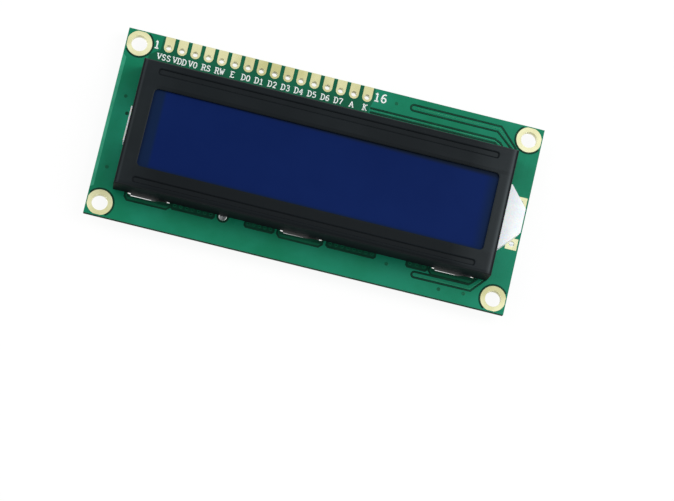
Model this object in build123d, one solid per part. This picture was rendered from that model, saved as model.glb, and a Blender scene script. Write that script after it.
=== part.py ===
from build123d import *
import os

# Character display module for two lines of sixteen letters: a printed board that carries a liquid
# crystal cell, a side-lit backlight and a folded steel bezel with six tabs twisted behind the board.
# Millimetres. +X runs along the pin row from pin 1, +Y points to the pin row, +Z out of the display.
# The origin is the middle of the four mounting holes, on the rear face of the board.

# Window of the bezel, the opening that the display is read through
WINDOW_LENGTH = 64.6
WINDOW_WIDTH = 14.4
WINDOW_CORNER = 0.8

# Bezel, folded from one sheet: its face frames the window
SHEET = 0.5
FRAME_LEFT = 3.9
FRAME_RIGHT = 2.5
FRAME_TOP = 4.95
FRAME_BOTTOM = 4.45
FOLD_RADIUS = 0.8              # outside of the folds
CORNER_SLIT = 0.25             # gap where the short walls end beside the long ones
BEAD_WIDTH = 1.07              # pressed beads that hold the glass down over the contact strips
BEAD_FROM_EDGE = 1.35
BEAD_FROM_END = 3.1

# Printed board, which shows all round the bezel
MARGIN_LEFT = 4.25
MARGIN_RIGHT = 4.75
MARGIN_TOP = 6.7
MARGIN_BOTTOM = 5.5
BOARD_THICKNESS = 1.6
COPPER = 0.05                  # bare copper pads stand this far off the board
PLATING = 0.05                 # wall of the sleeve in a plated hole or slot
SLEEVE_SIDES = 12              # the hidden outside of a sleeve is near enough round

# Mounting holes
MOUNT_FROM_EDGE = 2.5
MOUNT_HOLE = 3.0
MOUNT_RING = 5.2

# Pin row along the upper edge
PIN_COUNT = 16
PIN_PITCH = 2.54
FIRST_PIN_FROM_LEFT = 8.0
PIN_FROM_EDGE = 2.0
PIN_HOLE = 1.0
PIN_PAD_WIDTH = 1.8
PIN_SIDES = 12                 # the small holes and pad ends of the row are near enough round

# Twisted tabs and their slots
TAB_FROM_END = 6.5             # outer tabs from the ends of the bezel
TAB_SHIFT = 0.35               # row of tabs off the middle of the bezel
TAB_REACH = 2.0                # tips below the rear face of the board
TAB_STRAIGHT = 0.25            # straight run behind the board before the twist
TAB_LEAN = 0.9                 # tips stand this far inwards of their roots
LOWER_TWISTS = (-46.0, -43.0, -35.0)
UPPER_TWISTS = (-28.0, -27.0, -30.0)
SLOT_LENGTH = 8.0
SLOT_WIDTH = 1.2
SLOT_CLEARANCE = 0.1           # between a tab and the inner side of its slot
SLOT_END_GAP = 0.55            # between a tab and each end of its slot
TAB_PAD_LENGTH = 7.5
TAB_PAD_WIDTH = 2.7

# Liquid crystal cell
GLASS = 1.1
POLARISER = 0.2
POLARISER_GAP = 0.05           # between the front polariser and the bezel
POLARISER_LAP = 0.9            # front polariser beyond the window
POLARISER_BORDER = 0.5         # bare rim of the rear glass
CELL_CLEARANCE = 0.3           # between the front glass and the bezel walls
CELL_END_STEP = 0.6            # rear glass shorter than the front one at each end

# Contact strips and the fingers under them
STRIP_WIDTH = 1.8
STRIP_INSET = 0.3              # from the edge of the front glass
STRIP_END = 1.5                # front glass beyond each end of a strip
STRIP_CLEARANCE = 0.2          # between a strip and the backlight
LEDGE_CLEARANCE = 0.5          # between a strip and the rear glass
FINGER_PITCH = 1.65
FINGER_WIDTH = 0.9

# Backlight
BACKLIGHT_HEIGHT = 4.0
HOUSING_CLEARANCE = 0.3        # between the housing and the short walls of the bezel
HOUSING_WALL = 0.5
HOUSING_FLOOR = 0.6
FUNNEL_MOUTH = 12.4
FUNNEL_END = 4.6
FUNNEL_TAPER_FROM = 0.7        # start of the taper, beyond the bezel
FUNNEL_LENGTH = 4.1            # beyond the bezel
FUNNEL_ROOF = 0.5
LUG_WIDTH = 6.7
LUG_PROUD = 0.3                # lug beyond the left wall of the bezel
LUG_NOTCH_SIDE = 0.9           # free space beside the lug in its notch
FUNNEL_NOTCH_SIDE = 0.3
NOTCH_HEADROOM = 0.2
REFLECTOR = 0.15
DIFFUSER = 0.3
GUIDE_CLEARANCE = 0.15

# Lamp of the backlight and its pads beside the right edge
LED_DEPTH = 1.5
LED_WIDTH = 3.4
LED_HEIGHT = 2.2
LED_CLEARANCE = 0.05           # behind the lamp and under it
LEAD_PITCH = 2.54
LEAD_SIZE = 0.4
LEAD_FROM_BACK = 0.35          # lead axis from the rear face of the lamp
LEAD_HOLE = 0.9
LEAD_REACH = 1.1               # lead ends below the rear face of the board
JOINT_BASE = 2.0
JOINT_TOP = 0.9
JOINT_HEIGHT = 0.9
LIGHT_PAD_SPACING = 8.0
LIGHT_PAD_FROM_EDGE = 1.4
LIGHT_PAD_SIZE = 2.2
LIGHT_PAD_HOLE = 1.0

# Tooling holes of the bezel, one below and one above the display
TOOLING_SHIFT = 0.4            # off the middle between two tabs
TOOLING_FROM_EDGE = -0.1       # hole axis inside the outer face of the wall
TOOLING_HOLE = 1.5
TOOLING_RING = 2.3

# Places on the rear face: how far from the left or right edge, and above the middle of the bezel
# Chips under drops of epoxy
CONTROLLER_FROM_LEFT = (27.25, 0.35)
CONTROLLER_SIZE = 12.75
CONTROLLER_HEIGHT = 1.6
DRIVER_FROM_RIGHT = (26.65, 1.2)
DRIVER_SIZE = 10.3
DRIVER_HEIGHT = 1.4
DROP_STEPS = ((1.0, 0.0), (0.93, 0.4), (0.74, 0.75), (0.42, 0.95), (0.0, 1.0))   # out, down

# Chip resistors: length, width and thickness, then the pitch, length and width of their two pads
SMALL_RESISTOR = (2.0, 1.25, 0.5)
SMALL_PADS = (2.8, 1.3, 1.5)
LARGE_RESISTOR = (3.2, 1.6, 0.6)
LARGE_PADS = (4.0, 1.5, 1.8)
CAP_LENGTH = 0.45
CAP_WALL = 0.05
FILLET_TOP = 0.4               # height that the solder climbs on the end of a chip
FILLET_TOE = 0.08              # solder left at the outer end of a pad
COLUMN_FROM_LEFT = (9.0, -5.9)     # first resistor of the column
COLUMN_PITCH = 2.3
COLUMN_COUNT = 6
LONE_RESISTOR_FROM_LEFT = (17.6, -3.4)
LAMP_RESISTOR_SHIFT = -1.65        # off the middle between the tooling hole and the right tab
LAMP_RESISTORS_FROM_TOP = (5.5, 2.25)

# Bare pads of places that are left empty
CAPACITORS_FROM_RIGHT = ((10.2, -5.8), (10.2, -2.35))
CAPACITOR_PADS = (3.6, 1.9, 2.0)
SMALL_CAPACITOR_FROM_LEFT = (17.6, -5.7)
SMALL_CAPACITOR_PADS = (2.4, 1.7, 1.6)
CHIP_FROM_RIGHT = (10.65, 2.25)
CHIP_ROWS = 5.8
CHIP_PITCH = 1.27
CHIP_PAD = (2.1, 0.65)
CHIP_PADS_PER_ROW = 4
JUMPERS_FROM_RIGHT = (12.95, 6.1)  # first of the row
JUMPER_PITCH = 2.4
JUMPER_COUNT = 3
JUMPER_SIZE = 2.0
JUMPER_SPLIT = 0.3
JUMPER_SOLDER_TOP = 1.2
JUMPER_SOLDER_HEIGHT = 0.3

# Levels and sizes that follow from the ones above
front = BOARD_THICKNESS
seat = front + COPPER
backlight_top = seat + BACKLIGHT_HEIGHT
rear_glass_z = backlight_top + POLARISER
front_glass_z = rear_glass_z + GLASS
glass_top = front_glass_z + GLASS
bead_depth = POLARISER + POLARISER_GAP
face_underside = glass_top + bead_depth
face = face_underside + SHEET
bezel_length = FRAME_LEFT + WINDOW_LENGTH + FRAME_RIGHT
bezel_width = FRAME_BOTTOM + WINDOW_WIDTH + FRAME_TOP
board_length = MARGIN_LEFT + bezel_length + MARGIN_RIGHT
board_width = MARGIN_BOTTOM + bezel_width + MARGIN_TOP
board_left = -board_length / 2
board_right = board_length / 2
board_top = board_width / 2
bezel_left = board_left + MARGIN_LEFT
bezel_right = board_right - MARGIN_RIGHT
bezel_x = (bezel_left + bezel_right) / 2
bezel_y = -board_width / 2 + MARGIN_BOTTOM + bezel_width / 2
window_x = bezel_left + FRAME_LEFT + WINDOW_LENGTH / 2
window_y = bezel_y + (FRAME_BOTTOM - FRAME_TOP) / 2
inner_length = bezel_length - 2 * SHEET
inner_width = bezel_width - 2 * SHEET
front_glass_length = inner_length - 2 * CELL_CLEARANCE
front_glass_width = inner_width - 2 * CELL_CLEARANCE
strip_length = front_glass_length - 2 * STRIP_END
strip_y = front_glass_width / 2 - STRIP_INSET - STRIP_WIDTH / 2
rear_glass_length = front_glass_length - 2 * CELL_END_STEP
rear_glass_width = front_glass_width - 2 * (STRIP_INSET + STRIP_WIDTH + LEDGE_CLEARANCE)
housing_length = inner_length - 2 * HOUSING_CLEARANCE
housing_width = 2 * (strip_y - STRIP_WIDTH / 2 - STRIP_CLEARANCE)
housing_right = bezel_x + housing_length / 2
funnel_end_x = bezel_right + FUNNEL_LENGTH
led_back = funnel_end_x - HOUSING_WALL - LED_CLEARANCE
led_front = led_back - LED_DEPTH
lead_x = led_back - LEAD_FROM_BACK
tab_x = bezel_x + TAB_SHIFT
tab_pitch = bezel_length / 2 - TAB_FROM_END
tab_y = bezel_width / 2 - SHEET / 2
tab_width = SLOT_LENGTH - 2 * SLOT_END_GAP
slot_y = tab_y - SHEET / 2 - SLOT_CLEARANCE + SLOT_WIDTH / 2
above = (Align.CENTER, Align.CENTER, Align.MIN)
below = (Align.CENTER, Align.CENTER, Align.MAX)

os.makedirs("parts", exist_ok=True)


def save(node, solids):
    """Writes one node: a single solid, or a group of like solids."""
    group = list(solids)
    export_step(group[0] if len(group) == 1 else Compound(group), f"parts/{node}.step")


def slab(x, y, z, length, width, height):
    """A box centred on x and y that stands on the level z."""
    return Pos(x, y, z) * Box(length, width, height, align=above)


def rear_pad(x, y, length, width):
    """A bare rectangular pad on the rear face of the board."""
    return Pos(x, y, 0) * Box(length, width, COPPER, align=below)


def pad_pair(x, y, pitch, length, width):
    """The two pads of a chip that lies along X."""
    return [rear_pad(x + side * pitch / 2, y, length, width) for side in (-1, 1)]


def plated_hole(pad, bore, sleeve, front_pad=True):
    """A plated hole: the sleeve through the board, with the pad behind it and mostly before it too."""
    plated = extrude(sleeve, BOARD_THICKNESS) + extrude(pad, -COPPER)
    if front_pad:
        plated += extrude(Pos(0, 0, front) * pad, COPPER)
    return plated - extrude(Pos(0, 0, -COPPER) * bore, BOARD_THICKNESS + 2 * COPPER)


def disc(x, y, diameter):
    """Plan of a round hole or pad."""
    return Pos(x, y) * Circle(diameter / 2)


def sided(x, y, diameter, sides):
    """Plan of a small hole or pad with flat sides, measured across the flats."""
    return Pos(x, y) * RegularPolygon(diameter / 2, sides, major_radius=False)


def sleeve(x, y, bore):
    """Plan of the outside of the sleeve in a round hole."""
    return sided(x, y, bore + 2 * PLATING, SLEEVE_SIDES)


def slot_sleeve(x, y):
    """Plan of the outside of the sleeve in a tab slot."""
    return Pos(x, y) * Rectangle(SLOT_LENGTH + 2 * PLATING, SLOT_WIDTH + 2 * PLATING)


def from_left(place):
    """A place on the rear face that is measured from the left edge and the middle of the bezel."""
    return board_left + place[0], bezel_y + place[1]


def from_right(place):
    """A place on the rear face that is measured from the right edge and the middle of the bezel."""
    return board_right - place[0], bezel_y + place[1]


# Places on the board
board_plan = Rectangle(board_length, board_width)
mount_x = board_right - MOUNT_FROM_EDGE
mount_y = board_top - MOUNT_FROM_EDGE
mount_places = [(x * mount_x, y * mount_y) for x in (-1, 1) for y in (-1, 1)]
pin_y = board_top - PIN_FROM_EDGE
first_pin_x = board_left + FIRST_PIN_FROM_LEFT
pin_places = [(first_pin_x + n * PIN_PITCH, pin_y) for n in range(PIN_COUNT)]
tab_places = [
    (tab_x + column * tab_pitch, side, twist)
    for side, twists in ((-1, LOWER_TWISTS), (1, UPPER_TWISTS))
    for column, twist in zip((-1, 0, 1), twists)
]
light_pad_x = board_right - LIGHT_PAD_FROM_EDGE
light_pad_places = [(light_pad_x, bezel_y + side * LIGHT_PAD_SPACING / 2) for side in (-1, 1)]
lead_places = [(lead_x, bezel_y + side * LEAD_PITCH / 2) for side in (-1, 1)]
tooling_x = tab_pitch / 2 + TOOLING_SHIFT
tooling_y = bezel_width / 2 - TOOLING_FROM_EDGE
tooling_places = [(tab_x + side * tooling_x, bezel_y + side * tooling_y) for side in (-1, 1)]

# Circuit board, drilled and routed for everything that passes through it
drilled = Sketch()
for places, bore in (
    (mount_places, MOUNT_HOLE),
    (pin_places, PIN_HOLE),
    (light_pad_places, LIGHT_PAD_HOLE),
    (tooling_places, TOOLING_HOLE),
):
    drilled += [sleeve(x, y, bore) for x, y in places]
drilled += [sided(x, y, LEAD_HOLE, SLEEVE_SIDES) for x, y in lead_places]
drilled += [slot_sleeve(x, bezel_y + side * slot_y) for x, side, twist in tab_places]
save("circuit_board", [extrude(board_plan - drilled, BOARD_THICKNESS)])

# Plated holes and slots
save("mounting_rings", [
    plated_hole(board_plan & disc(x, y, MOUNT_RING), disc(x, y, MOUNT_HOLE), sleeve(x, y, MOUNT_HOLE))
    for x, y in mount_places
])
save("tooling_eyelets", [
    plated_hole(
        disc(x, y, TOOLING_RING), disc(x, y, TOOLING_HOLE), sleeve(x, y, TOOLING_HOLE), front_pad=False
    )
    for x, y in tooling_places
])
save("header_pads", [
    plated_hole(
        Pos(x, y + PIN_FROM_EDGE / 2) * Rectangle(PIN_PAD_WIDTH, PIN_FROM_EDGE)
        + sided(x, y, PIN_PAD_WIDTH, PIN_SIDES),
        sided(x, y, PIN_HOLE, PIN_SIDES),
        sleeve(x, y, PIN_HOLE),
    )
    for x, y in pin_places
])
save("backlight_pads", [
    plated_hole(
        Pos(x, y) * Rectangle(LIGHT_PAD_SIZE, LIGHT_PAD_SIZE),
        disc(x, y, LIGHT_PAD_HOLE),
        sleeve(x, y, LIGHT_PAD_HOLE),
    )
    for x, y in light_pad_places
])


def tab_pad(x, side):
    """The plated slot of one tab, with the bare pad on its inner side behind the board."""
    y = bezel_y + side * slot_y
    slot = Pos(x, y) * SlotOverall(SLOT_LENGTH, SLOT_WIDTH)
    pad = Pos(x, y - side * (SLOT_WIDTH + TAB_PAD_WIDTH) / 2) * Rectangle(TAB_PAD_LENGTH, TAB_PAD_WIDTH)
    return plated_hole(slot_sleeve(x, y) + pad, slot, slot_sleeve(x, y), front_pad=False)


save("tab_pads", [tab_pad(x, side) for x, side, twist in tab_places])

# Bare pads on the rear face
capacitor_pads = pad_pair(*from_left(SMALL_CAPACITOR_FROM_LEFT), *SMALL_CAPACITOR_PADS)
for place in CAPACITORS_FROM_RIGHT:
    capacitor_pads += pad_pair(*from_right(place), *CAPACITOR_PADS)
save("capacitor_pads", capacitor_pads)

chip_x, chip_y = from_right(CHIP_FROM_RIGHT)
first_chip_pad_y = chip_y - (CHIP_PADS_PER_ROW - 1) * CHIP_PITCH / 2
save("chip_pads", [
    pad
    for n in range(CHIP_PADS_PER_ROW)
    for pad in pad_pair(chip_x, first_chip_pad_y + n * CHIP_PITCH, CHIP_ROWS, *CHIP_PAD)
])

first_jumper_x, jumper_y = from_right(JUMPERS_FROM_RIGHT)
jumper_places = [(first_jumper_x + n * JUMPER_PITCH, jumper_y) for n in range(JUMPER_COUNT)]
jumper_halves = []
for x, y in jumper_places:
    halves = extrude(disc(x, y, JUMPER_SIZE) - Pos(x, y) * Rectangle(JUMPER_SPLIT, JUMPER_SIZE), -COPPER)
    jumper_halves += halves.solids()
save("jumper_pads", jumper_halves)

bridge = Cone(JUMPER_SOLDER_TOP / 2, JUMPER_SIZE / 2, JUMPER_SOLDER_HEIGHT, align=below)
save("jumper_solder", [Pos(*jumper_places[-1], -COPPER) * bridge])


def drop(x, y, diameter, height):
    """A drop of epoxy that hangs from the rear face, its round skin in straight steps for few facets."""
    steps = [(share * diameter / 2, -fall * height) for share, fall in DROP_STEPS]
    outline = Polyline((0, 0), *steps, close=True)
    return Pos(x, y) * revolve(Plane.XZ * make_face(outline), Axis.Z)


save("controller_blob", [drop(*from_left(CONTROLLER_FROM_LEFT), CONTROLLER_SIZE, CONTROLLER_HEIGHT)])
save("driver_blob", [drop(*from_right(DRIVER_FROM_RIGHT), DRIVER_SIZE, DRIVER_HEIGHT)])

# Chip resistors, each a ceramic body between two metal caps that are soldered to their pads
resistor_pads = []
resistor_caps = []
resistor_solder = []


def solder_fillet(x, y, side, chip_end, pad_end, width):
    """The wedge of solder from the end of a chip down to the outer end of its pad."""
    outline = Polyline(
        (chip_end, 0), (pad_end, 0), (pad_end, -FILLET_TOE), (chip_end, -FILLET_TOP), close=True
    )
    wedge = extrude(Plane.XZ * make_face(outline), width / 2, both=True)
    turned = wedge if side > 0 else wedge.rotate(Axis.Z, 180)
    return Pos(x, y, -COPPER) * turned


def resistor(node, place, chip, pads):
    """Writes one ceramic body and collects its caps, solder and pads."""
    x, y = place
    length, width, thickness = chip
    pitch, pad_length, pad_width = pads
    body_top = -COPPER - CAP_WALL
    core = (length - 2 * CAP_WALL, width, thickness - 2 * CAP_WALL)
    body = Pos(x, y, body_top) * Box(*core, align=below)
    save(node, [body])
    pad_end = (pitch + pad_length) / 2
    for side in (-1, 1):
        cap_x = x + side * (length - CAP_LENGTH) / 2
        cap = Pos(cap_x, y, -COPPER) * Box(CAP_LENGTH, width, thickness, align=below)
        resistor_caps.append(cap - body)
        resistor_solder.append(solder_fillet(x, y, side, length / 2, pad_end, width))
    resistor_pads.extend(pad_pair(x, y, pitch, pad_length, pad_width))


column_x, column_y = from_left(COLUMN_FROM_LEFT)
resistor_places = [(column_x, column_y + n * COLUMN_PITCH) for n in range(COLUMN_COUNT)]
resistor_places.append(from_left(LONE_RESISTOR_FROM_LEFT))
for number, place in enumerate(resistor_places, start=1):
    resistor(f"resistor_{number}", place, SMALL_RESISTOR, SMALL_PADS)
lamp_resistor_x = tab_x + (tooling_x + tab_pitch) / 2 + LAMP_RESISTOR_SHIFT
for number, drop_from_top in enumerate(LAMP_RESISTORS_FROM_TOP, start=1):
    place = (lamp_resistor_x, board_top - drop_from_top)
    resistor(f"lamp_resistor_{number}", place, LARGE_RESISTOR, LARGE_PADS)
save("resistor_pads", resistor_pads)
save("resistor_caps", resistor_caps)
save("resistor_solder", resistor_solder)

# Backlight housing: a white tray with a lug on the left and a funnel for the lamp on the right
tray_plan = Pos(bezel_x, bezel_y) * Rectangle(housing_length, housing_width)
taper_x = bezel_right + FUNNEL_TAPER_FROM
funnel_corners = [
    (housing_right - HOUSING_WALL, FUNNEL_MOUTH / 2),
    (taper_x, FUNNEL_MOUTH / 2),
    (funnel_end_x, FUNNEL_END / 2),
]
mirrored = [(x, -y) for x, y in reversed(funnel_corners)]
funnel_plan = Pos(0, bezel_y) * make_face(Polyline(*funnel_corners, *mirrored, close=True))
lug_x = bezel_left - LUG_PROUD
lug_length = bezel_x - lug_x
lug_plan = Pos(lug_x + lug_length / 2, bezel_y) * Rectangle(lug_length, LUG_WIDTH)
light_plan = tray_plan + funnel_plan
room_plan = offset(light_plan, -HOUSING_WALL, kind=Kind.INTERSECTION)
guide_plan = offset(light_plan, -HOUSING_WALL - GUIDE_CLEARANCE, kind=Kind.INTERSECTION)
room_floor = seat + HOUSING_FLOOR
roof_z = backlight_top - FUNNEL_ROOF
open_length = housing_length - 2 * HOUSING_WALL
open_width = housing_width - 2 * HOUSING_WALL
housing = extrude(Pos(0, 0, seat) * (light_plan + lug_plan), BACKLIGHT_HEIGHT)
housing -= extrude(Pos(0, 0, room_floor) * room_plan, roof_z - room_floor)
housing -= slab(bezel_x, bezel_y, roof_z, open_length, open_width, FUNNEL_ROOF)
housing -= [
    Pos(x, y, seat) * Cylinder(LEAD_HOLE / 2, HOUSING_FLOOR, align=above) for x, y in lead_places
]
save("backlight_housing", [housing])

# Films and light guide in the tray
film_length = open_length - 2 * GUIDE_CLEARANCE
film_width = open_width - 2 * GUIDE_CLEARANCE
guide_z = room_floor + REFLECTOR
guide_top = backlight_top - DIFFUSER
tongue_top = roof_z - GUIDE_CLEARANCE
tongue_limit = slab(0, bezel_y, guide_z, 2 * (led_front - GUIDE_CLEARANCE), bezel_width, guide_top - guide_z)
tongue = extrude(Pos(0, 0, guide_z) * guide_plan, tongue_top - guide_z) & tongue_limit
plate = slab(bezel_x, bezel_y, guide_z, film_length, film_width, guide_top - guide_z)
save("reflector_film", [slab(bezel_x, bezel_y, room_floor, film_length, film_width, REFLECTOR)])
save("light_guide", [plate + tongue])
save("diffuser_film", [slab(bezel_x, bezel_y, guide_top, film_length, film_width, DIFFUSER)])

# Lamp in the end of the funnel, its two leads and their solder joints behind the board
led_z = room_floor + LED_CLEARANCE
led_x = (led_front + led_back) / 2
led = slab(led_x, bezel_y, led_z, LED_DEPTH, LED_WIDTH, LED_HEIGHT)
leads = [
    Pos(x, y, led_z) * Box(LEAD_SIZE, LEAD_SIZE, led_z + LEAD_REACH, align=below)
    for x, y in lead_places
]
joints = [
    extrude(sided(x, y, LEAD_HOLE, SLEEVE_SIDES), BOARD_THICKNESS)
    + Pos(x, y, 0) * Cone(JOINT_TOP / 2, JOINT_BASE / 2, JOINT_HEIGHT, align=below)
    for x, y in lead_places
]
save("led", [led])
save("led_leads", leads)
save("led_solder", [joint - lead for joint, lead in zip(joints, leads)])

# Liquid crystal cell with its polarisers
save("rear_polariser", [slab(
    bezel_x, bezel_y, backlight_top,
    rear_glass_length - 2 * POLARISER_BORDER, rear_glass_width - 2 * POLARISER_BORDER, POLARISER,
)])
save("rear_glass", [slab(bezel_x, bezel_y, rear_glass_z, rear_glass_length, rear_glass_width, GLASS)])
save("front_glass", [slab(bezel_x, bezel_y, front_glass_z, front_glass_length, front_glass_width, GLASS)])
save("front_polariser", [slab(
    window_x, window_y, glass_top,
    WINDOW_LENGTH + 2 * POLARISER_LAP, WINDOW_WIDTH + 2 * POLARISER_LAP, POLARISER,
)])

# Contact strips that carry the signals from the fingers on the board up to the front glass
strip_height = front_glass_z - seat
finger_count = int(strip_length / FINGER_PITCH)
first_finger_x = bezel_x - (finger_count - 1) * FINGER_PITCH / 2
fingers = []
for node, side in (("contact_strip_lower", -1), ("contact_strip_upper", 1)):
    y = bezel_y + side * strip_y
    save(node, [slab(bezel_x, y, seat, strip_length, STRIP_WIDTH, strip_height)])
    fingers += [
        slab(first_finger_x + n * FINGER_PITCH, y, front, FINGER_WIDTH, STRIP_WIDTH, COPPER)
        for n in range(finger_count)
    ]
save("contact_fingers", fingers)


def twisted_tab(x, side, twist):
    """A tab that runs straight through its slot and is then twisted and leant inwards behind the board."""
    root = Pos(x, side * tab_y, 0)
    tip = Pos(x, side * (tab_y - TAB_LEAN), 0) * Rot(0, 0, twist)
    section = Rectangle(tab_width, SHEET)
    straight = root * Pos(0, 0, front) * Box(tab_width, SHEET, front + TAB_STRAIGHT, align=below)
    twisted = loft(
        [Pos(0, 0, -TAB_STRAIGHT) * root * section, Pos(0, 0, -TAB_REACH) * tip * section], ruled=True
    )
    return straight + twisted


# Bezel: a drawn tray of sheet with a window, two beads, notched short walls and the six tabs
skin = slab(0, 0, front, bezel_length, bezel_width, face - front)
skin = fillet(skin.faces().sort_by(Axis.Z)[-1].edges(), FOLD_RADIUS)
hollow = slab(0, 0, front, inner_length, inner_width, face_underside - front)
hollow = fillet(hollow.faces().sort_by(Axis.Z)[-1].edges(), FOLD_RADIUS - SHEET)
bezel = skin - hollow
bead_plan = Rectangle(bezel_length - 2 * BEAD_FROM_END, BEAD_WIDTH)
bead_y = bezel_width / 2 - BEAD_FROM_EDGE
for side in (-1, 1):
    bead = Pos(0, side * bead_y, face_underside) * bead_plan
    bezel += extrude(bead, -bead_depth)
    bezel -= extrude(Pos(0, 0, SHEET - bead_depth) * bead, bead_depth)
window_plan = Pos(window_x - bezel_x, window_y - bezel_y) * RectangleRounded(
    WINDOW_LENGTH, WINDOW_WIDTH, WINDOW_CORNER
)
bezel -= extrude(Pos(0, 0, face_underside) * window_plan, SHEET)
slit_height = face - FOLD_RADIUS - front
slit_y = (inner_width - CORNER_SLIT) / 2
notch_height = backlight_top + NOTCH_HEADROOM - front
notches = ((-1, LUG_WIDTH + 2 * LUG_NOTCH_SIDE), (1, FUNNEL_MOUTH + 2 * FUNNEL_NOTCH_SIDE))
for side, notch_width in notches:
    wall_x = side * (bezel_length - SHEET) / 2
    bezel -= slab(wall_x, 0, front, SHEET, notch_width, notch_height)
    bezel -= [slab(wall_x, end * slit_y, front, SHEET, CORNER_SLIT, slit_height) for end in (-1, 1)]
bezel += [twisted_tab(x - bezel_x, side, twist) for x, side, twist in tab_places]
save("bezel", [Pos(bezel_x, bezel_y, 0) * bezel])
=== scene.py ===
# %% [markdown]
# # A character display module, dressed in Blender
# The object is a small green circuit board that carries a blue liquid crystal display in a black
# folded bezel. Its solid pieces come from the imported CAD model, which is loaded first and never moved.
# This lesson gives each piece its finish, and adds what is too thin to be a solid: the copper tracks
# that show through the green mask, the white printed marks, the drops of solder and epoxy.

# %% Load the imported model
import math

import bpy
from mathutils import Matrix, Vector


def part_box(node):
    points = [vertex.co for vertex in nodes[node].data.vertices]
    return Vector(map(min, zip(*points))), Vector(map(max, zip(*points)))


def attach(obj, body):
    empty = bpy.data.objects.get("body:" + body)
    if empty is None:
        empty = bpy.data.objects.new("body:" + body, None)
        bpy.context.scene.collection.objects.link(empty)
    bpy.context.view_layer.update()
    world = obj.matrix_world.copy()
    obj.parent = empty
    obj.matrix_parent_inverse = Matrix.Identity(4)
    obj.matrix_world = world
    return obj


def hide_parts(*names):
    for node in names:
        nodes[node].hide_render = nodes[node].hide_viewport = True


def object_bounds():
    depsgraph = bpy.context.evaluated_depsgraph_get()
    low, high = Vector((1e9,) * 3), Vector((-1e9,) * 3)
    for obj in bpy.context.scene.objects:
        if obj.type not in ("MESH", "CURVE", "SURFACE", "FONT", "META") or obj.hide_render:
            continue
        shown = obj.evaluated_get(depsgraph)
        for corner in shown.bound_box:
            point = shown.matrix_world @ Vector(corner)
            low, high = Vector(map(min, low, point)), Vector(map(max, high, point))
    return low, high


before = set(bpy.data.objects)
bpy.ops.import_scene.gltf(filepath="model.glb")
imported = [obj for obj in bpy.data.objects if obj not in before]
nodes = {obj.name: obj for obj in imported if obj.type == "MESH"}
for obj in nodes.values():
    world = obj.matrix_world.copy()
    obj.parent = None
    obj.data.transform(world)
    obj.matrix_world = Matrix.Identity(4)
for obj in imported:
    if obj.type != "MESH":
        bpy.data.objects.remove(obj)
cad_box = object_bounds()
bpy.ops.object.select_all(action="DESELECT")

MM = 0.001
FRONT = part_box("circuit_board")[1].z
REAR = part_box("circuit_board")[0].z
MOUNTING_HOLES = [(x, y) for x in (-37.5, 37.5) for y in (-15.5, 15.5)]
PINS = [-32.0 + 2.54 * n for n in range(16)]
print(len(nodes), "nodes, board from", REAR, "to", FRONT)

# %% [markdown]
# The camera looks almost straight down, from a little to the left and below, so the lower and the left
# wall of the bezel just show. Its place and turn were worked out from the corners and holes of the board,
# so they are written as numbers: the position, then its right, up and back directions.

# %% Camera
camera_data = bpy.data.cameras.new("camera")
camera_data.sensor_width = 36.0
camera_data.lens = 172.384
camera_data.clip_start = 0.01
camera_data.clip_end = 20.0
camera = bpy.data.objects.new("camera", camera_data)
bpy.context.scene.collection.objects.link(camera)
right = Vector((0.96999, 0.2261, 0.08939))
up = Vector((-0.23834, 0.9569, 0.16595))
back = Vector((-0.04801, -0.18228, 0.98207))
place = Vector((-0.021483, -0.122658, 0.588736))
camera.matrix_world = Matrix((
    (right.x, up.x, back.x, place.x),
    (right.y, up.y, back.y, place.y),
    (right.z, up.z, back.z, place.z),
    (0.0, 0.0, 0.0, 1.0),
))
bpy.context.scene.camera = camera
bpy.context.scene.view_settings.view_transform = "Standard"
print("camera at", tuple(round(v, 4) for v in place))

# %% [markdown]
# ## Stage
# Shaders are built from nodes. A few helpers keep that short: one adds a node and fills its sockets, each
# with a plain value or with a link from another node, and the others add the three kinds used most.

# %% Helpers for nodes
def fill_sockets(tree, node, sockets):
    """Gives each named or numbered socket of a node its value, or a link from another node's output."""
    for label, value in sockets.items():
        if isinstance(value, bpy.types.NodeSocket):
            tree.links.new(value, node.inputs[label])
        else:
            node.inputs[label].default_value = value


def add_node(tree, kind, sockets=None, **settings):
    """A new shader node with its settings, and with its sockets filled."""
    node = tree.nodes.new("ShaderNode" + kind)
    for label, value in settings.items():
        setattr(node, label, value)
    fill_sockets(tree, node, sockets or {})
    return node


def compute(tree, operation, first, second):
    """The result of an operation on two numbers or outputs."""
    return add_node(tree, "Math", {0: first, 1: second}, operation=operation).outputs[0]


def mix_colour(tree, share, first, second):
    """A colour between two colours or outputs. The share is that of the second."""
    return add_node(tree, "Mix", {0: share, 6: first, 7: second}, data_type="RGBA").outputs[2]


def ramp_between(tree, value, start, end, **settings):
    """Zero where a value is at the start of a range or before it, one at its end and beyond."""
    sockets = {"Value": value, "From Min": start, "From Max": end}
    return add_node(tree, "MapRange", sockets, **settings).outputs[0]


print("node helpers ready")

# %% [markdown]
# The stage is a white sheet under soft light, so the object seems to float on white with hardly any
# shadow. The sheet shines by itself for what the camera or a glass sees, and keeps a share of real shading
# so that a faint shadow stays. A gloss doesn't see it, but sees the sky behind, which is as white. The
# sheet is clear from below, so the rear of the board can be seen there too.

# %% White floor
SELF_SHINE = 0.9


def light_path_seen(tree):
    """One where the ray comes from the camera, a gloss or a glass, and zero elsewhere."""
    path = add_node(tree, "LightPath").outputs
    first = compute(tree, "MAXIMUM", path["Is Camera Ray"], path["Is Glossy Ray"])
    return compute(tree, "MAXIMUM", first, path["Is Transmission Ray"])


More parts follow.
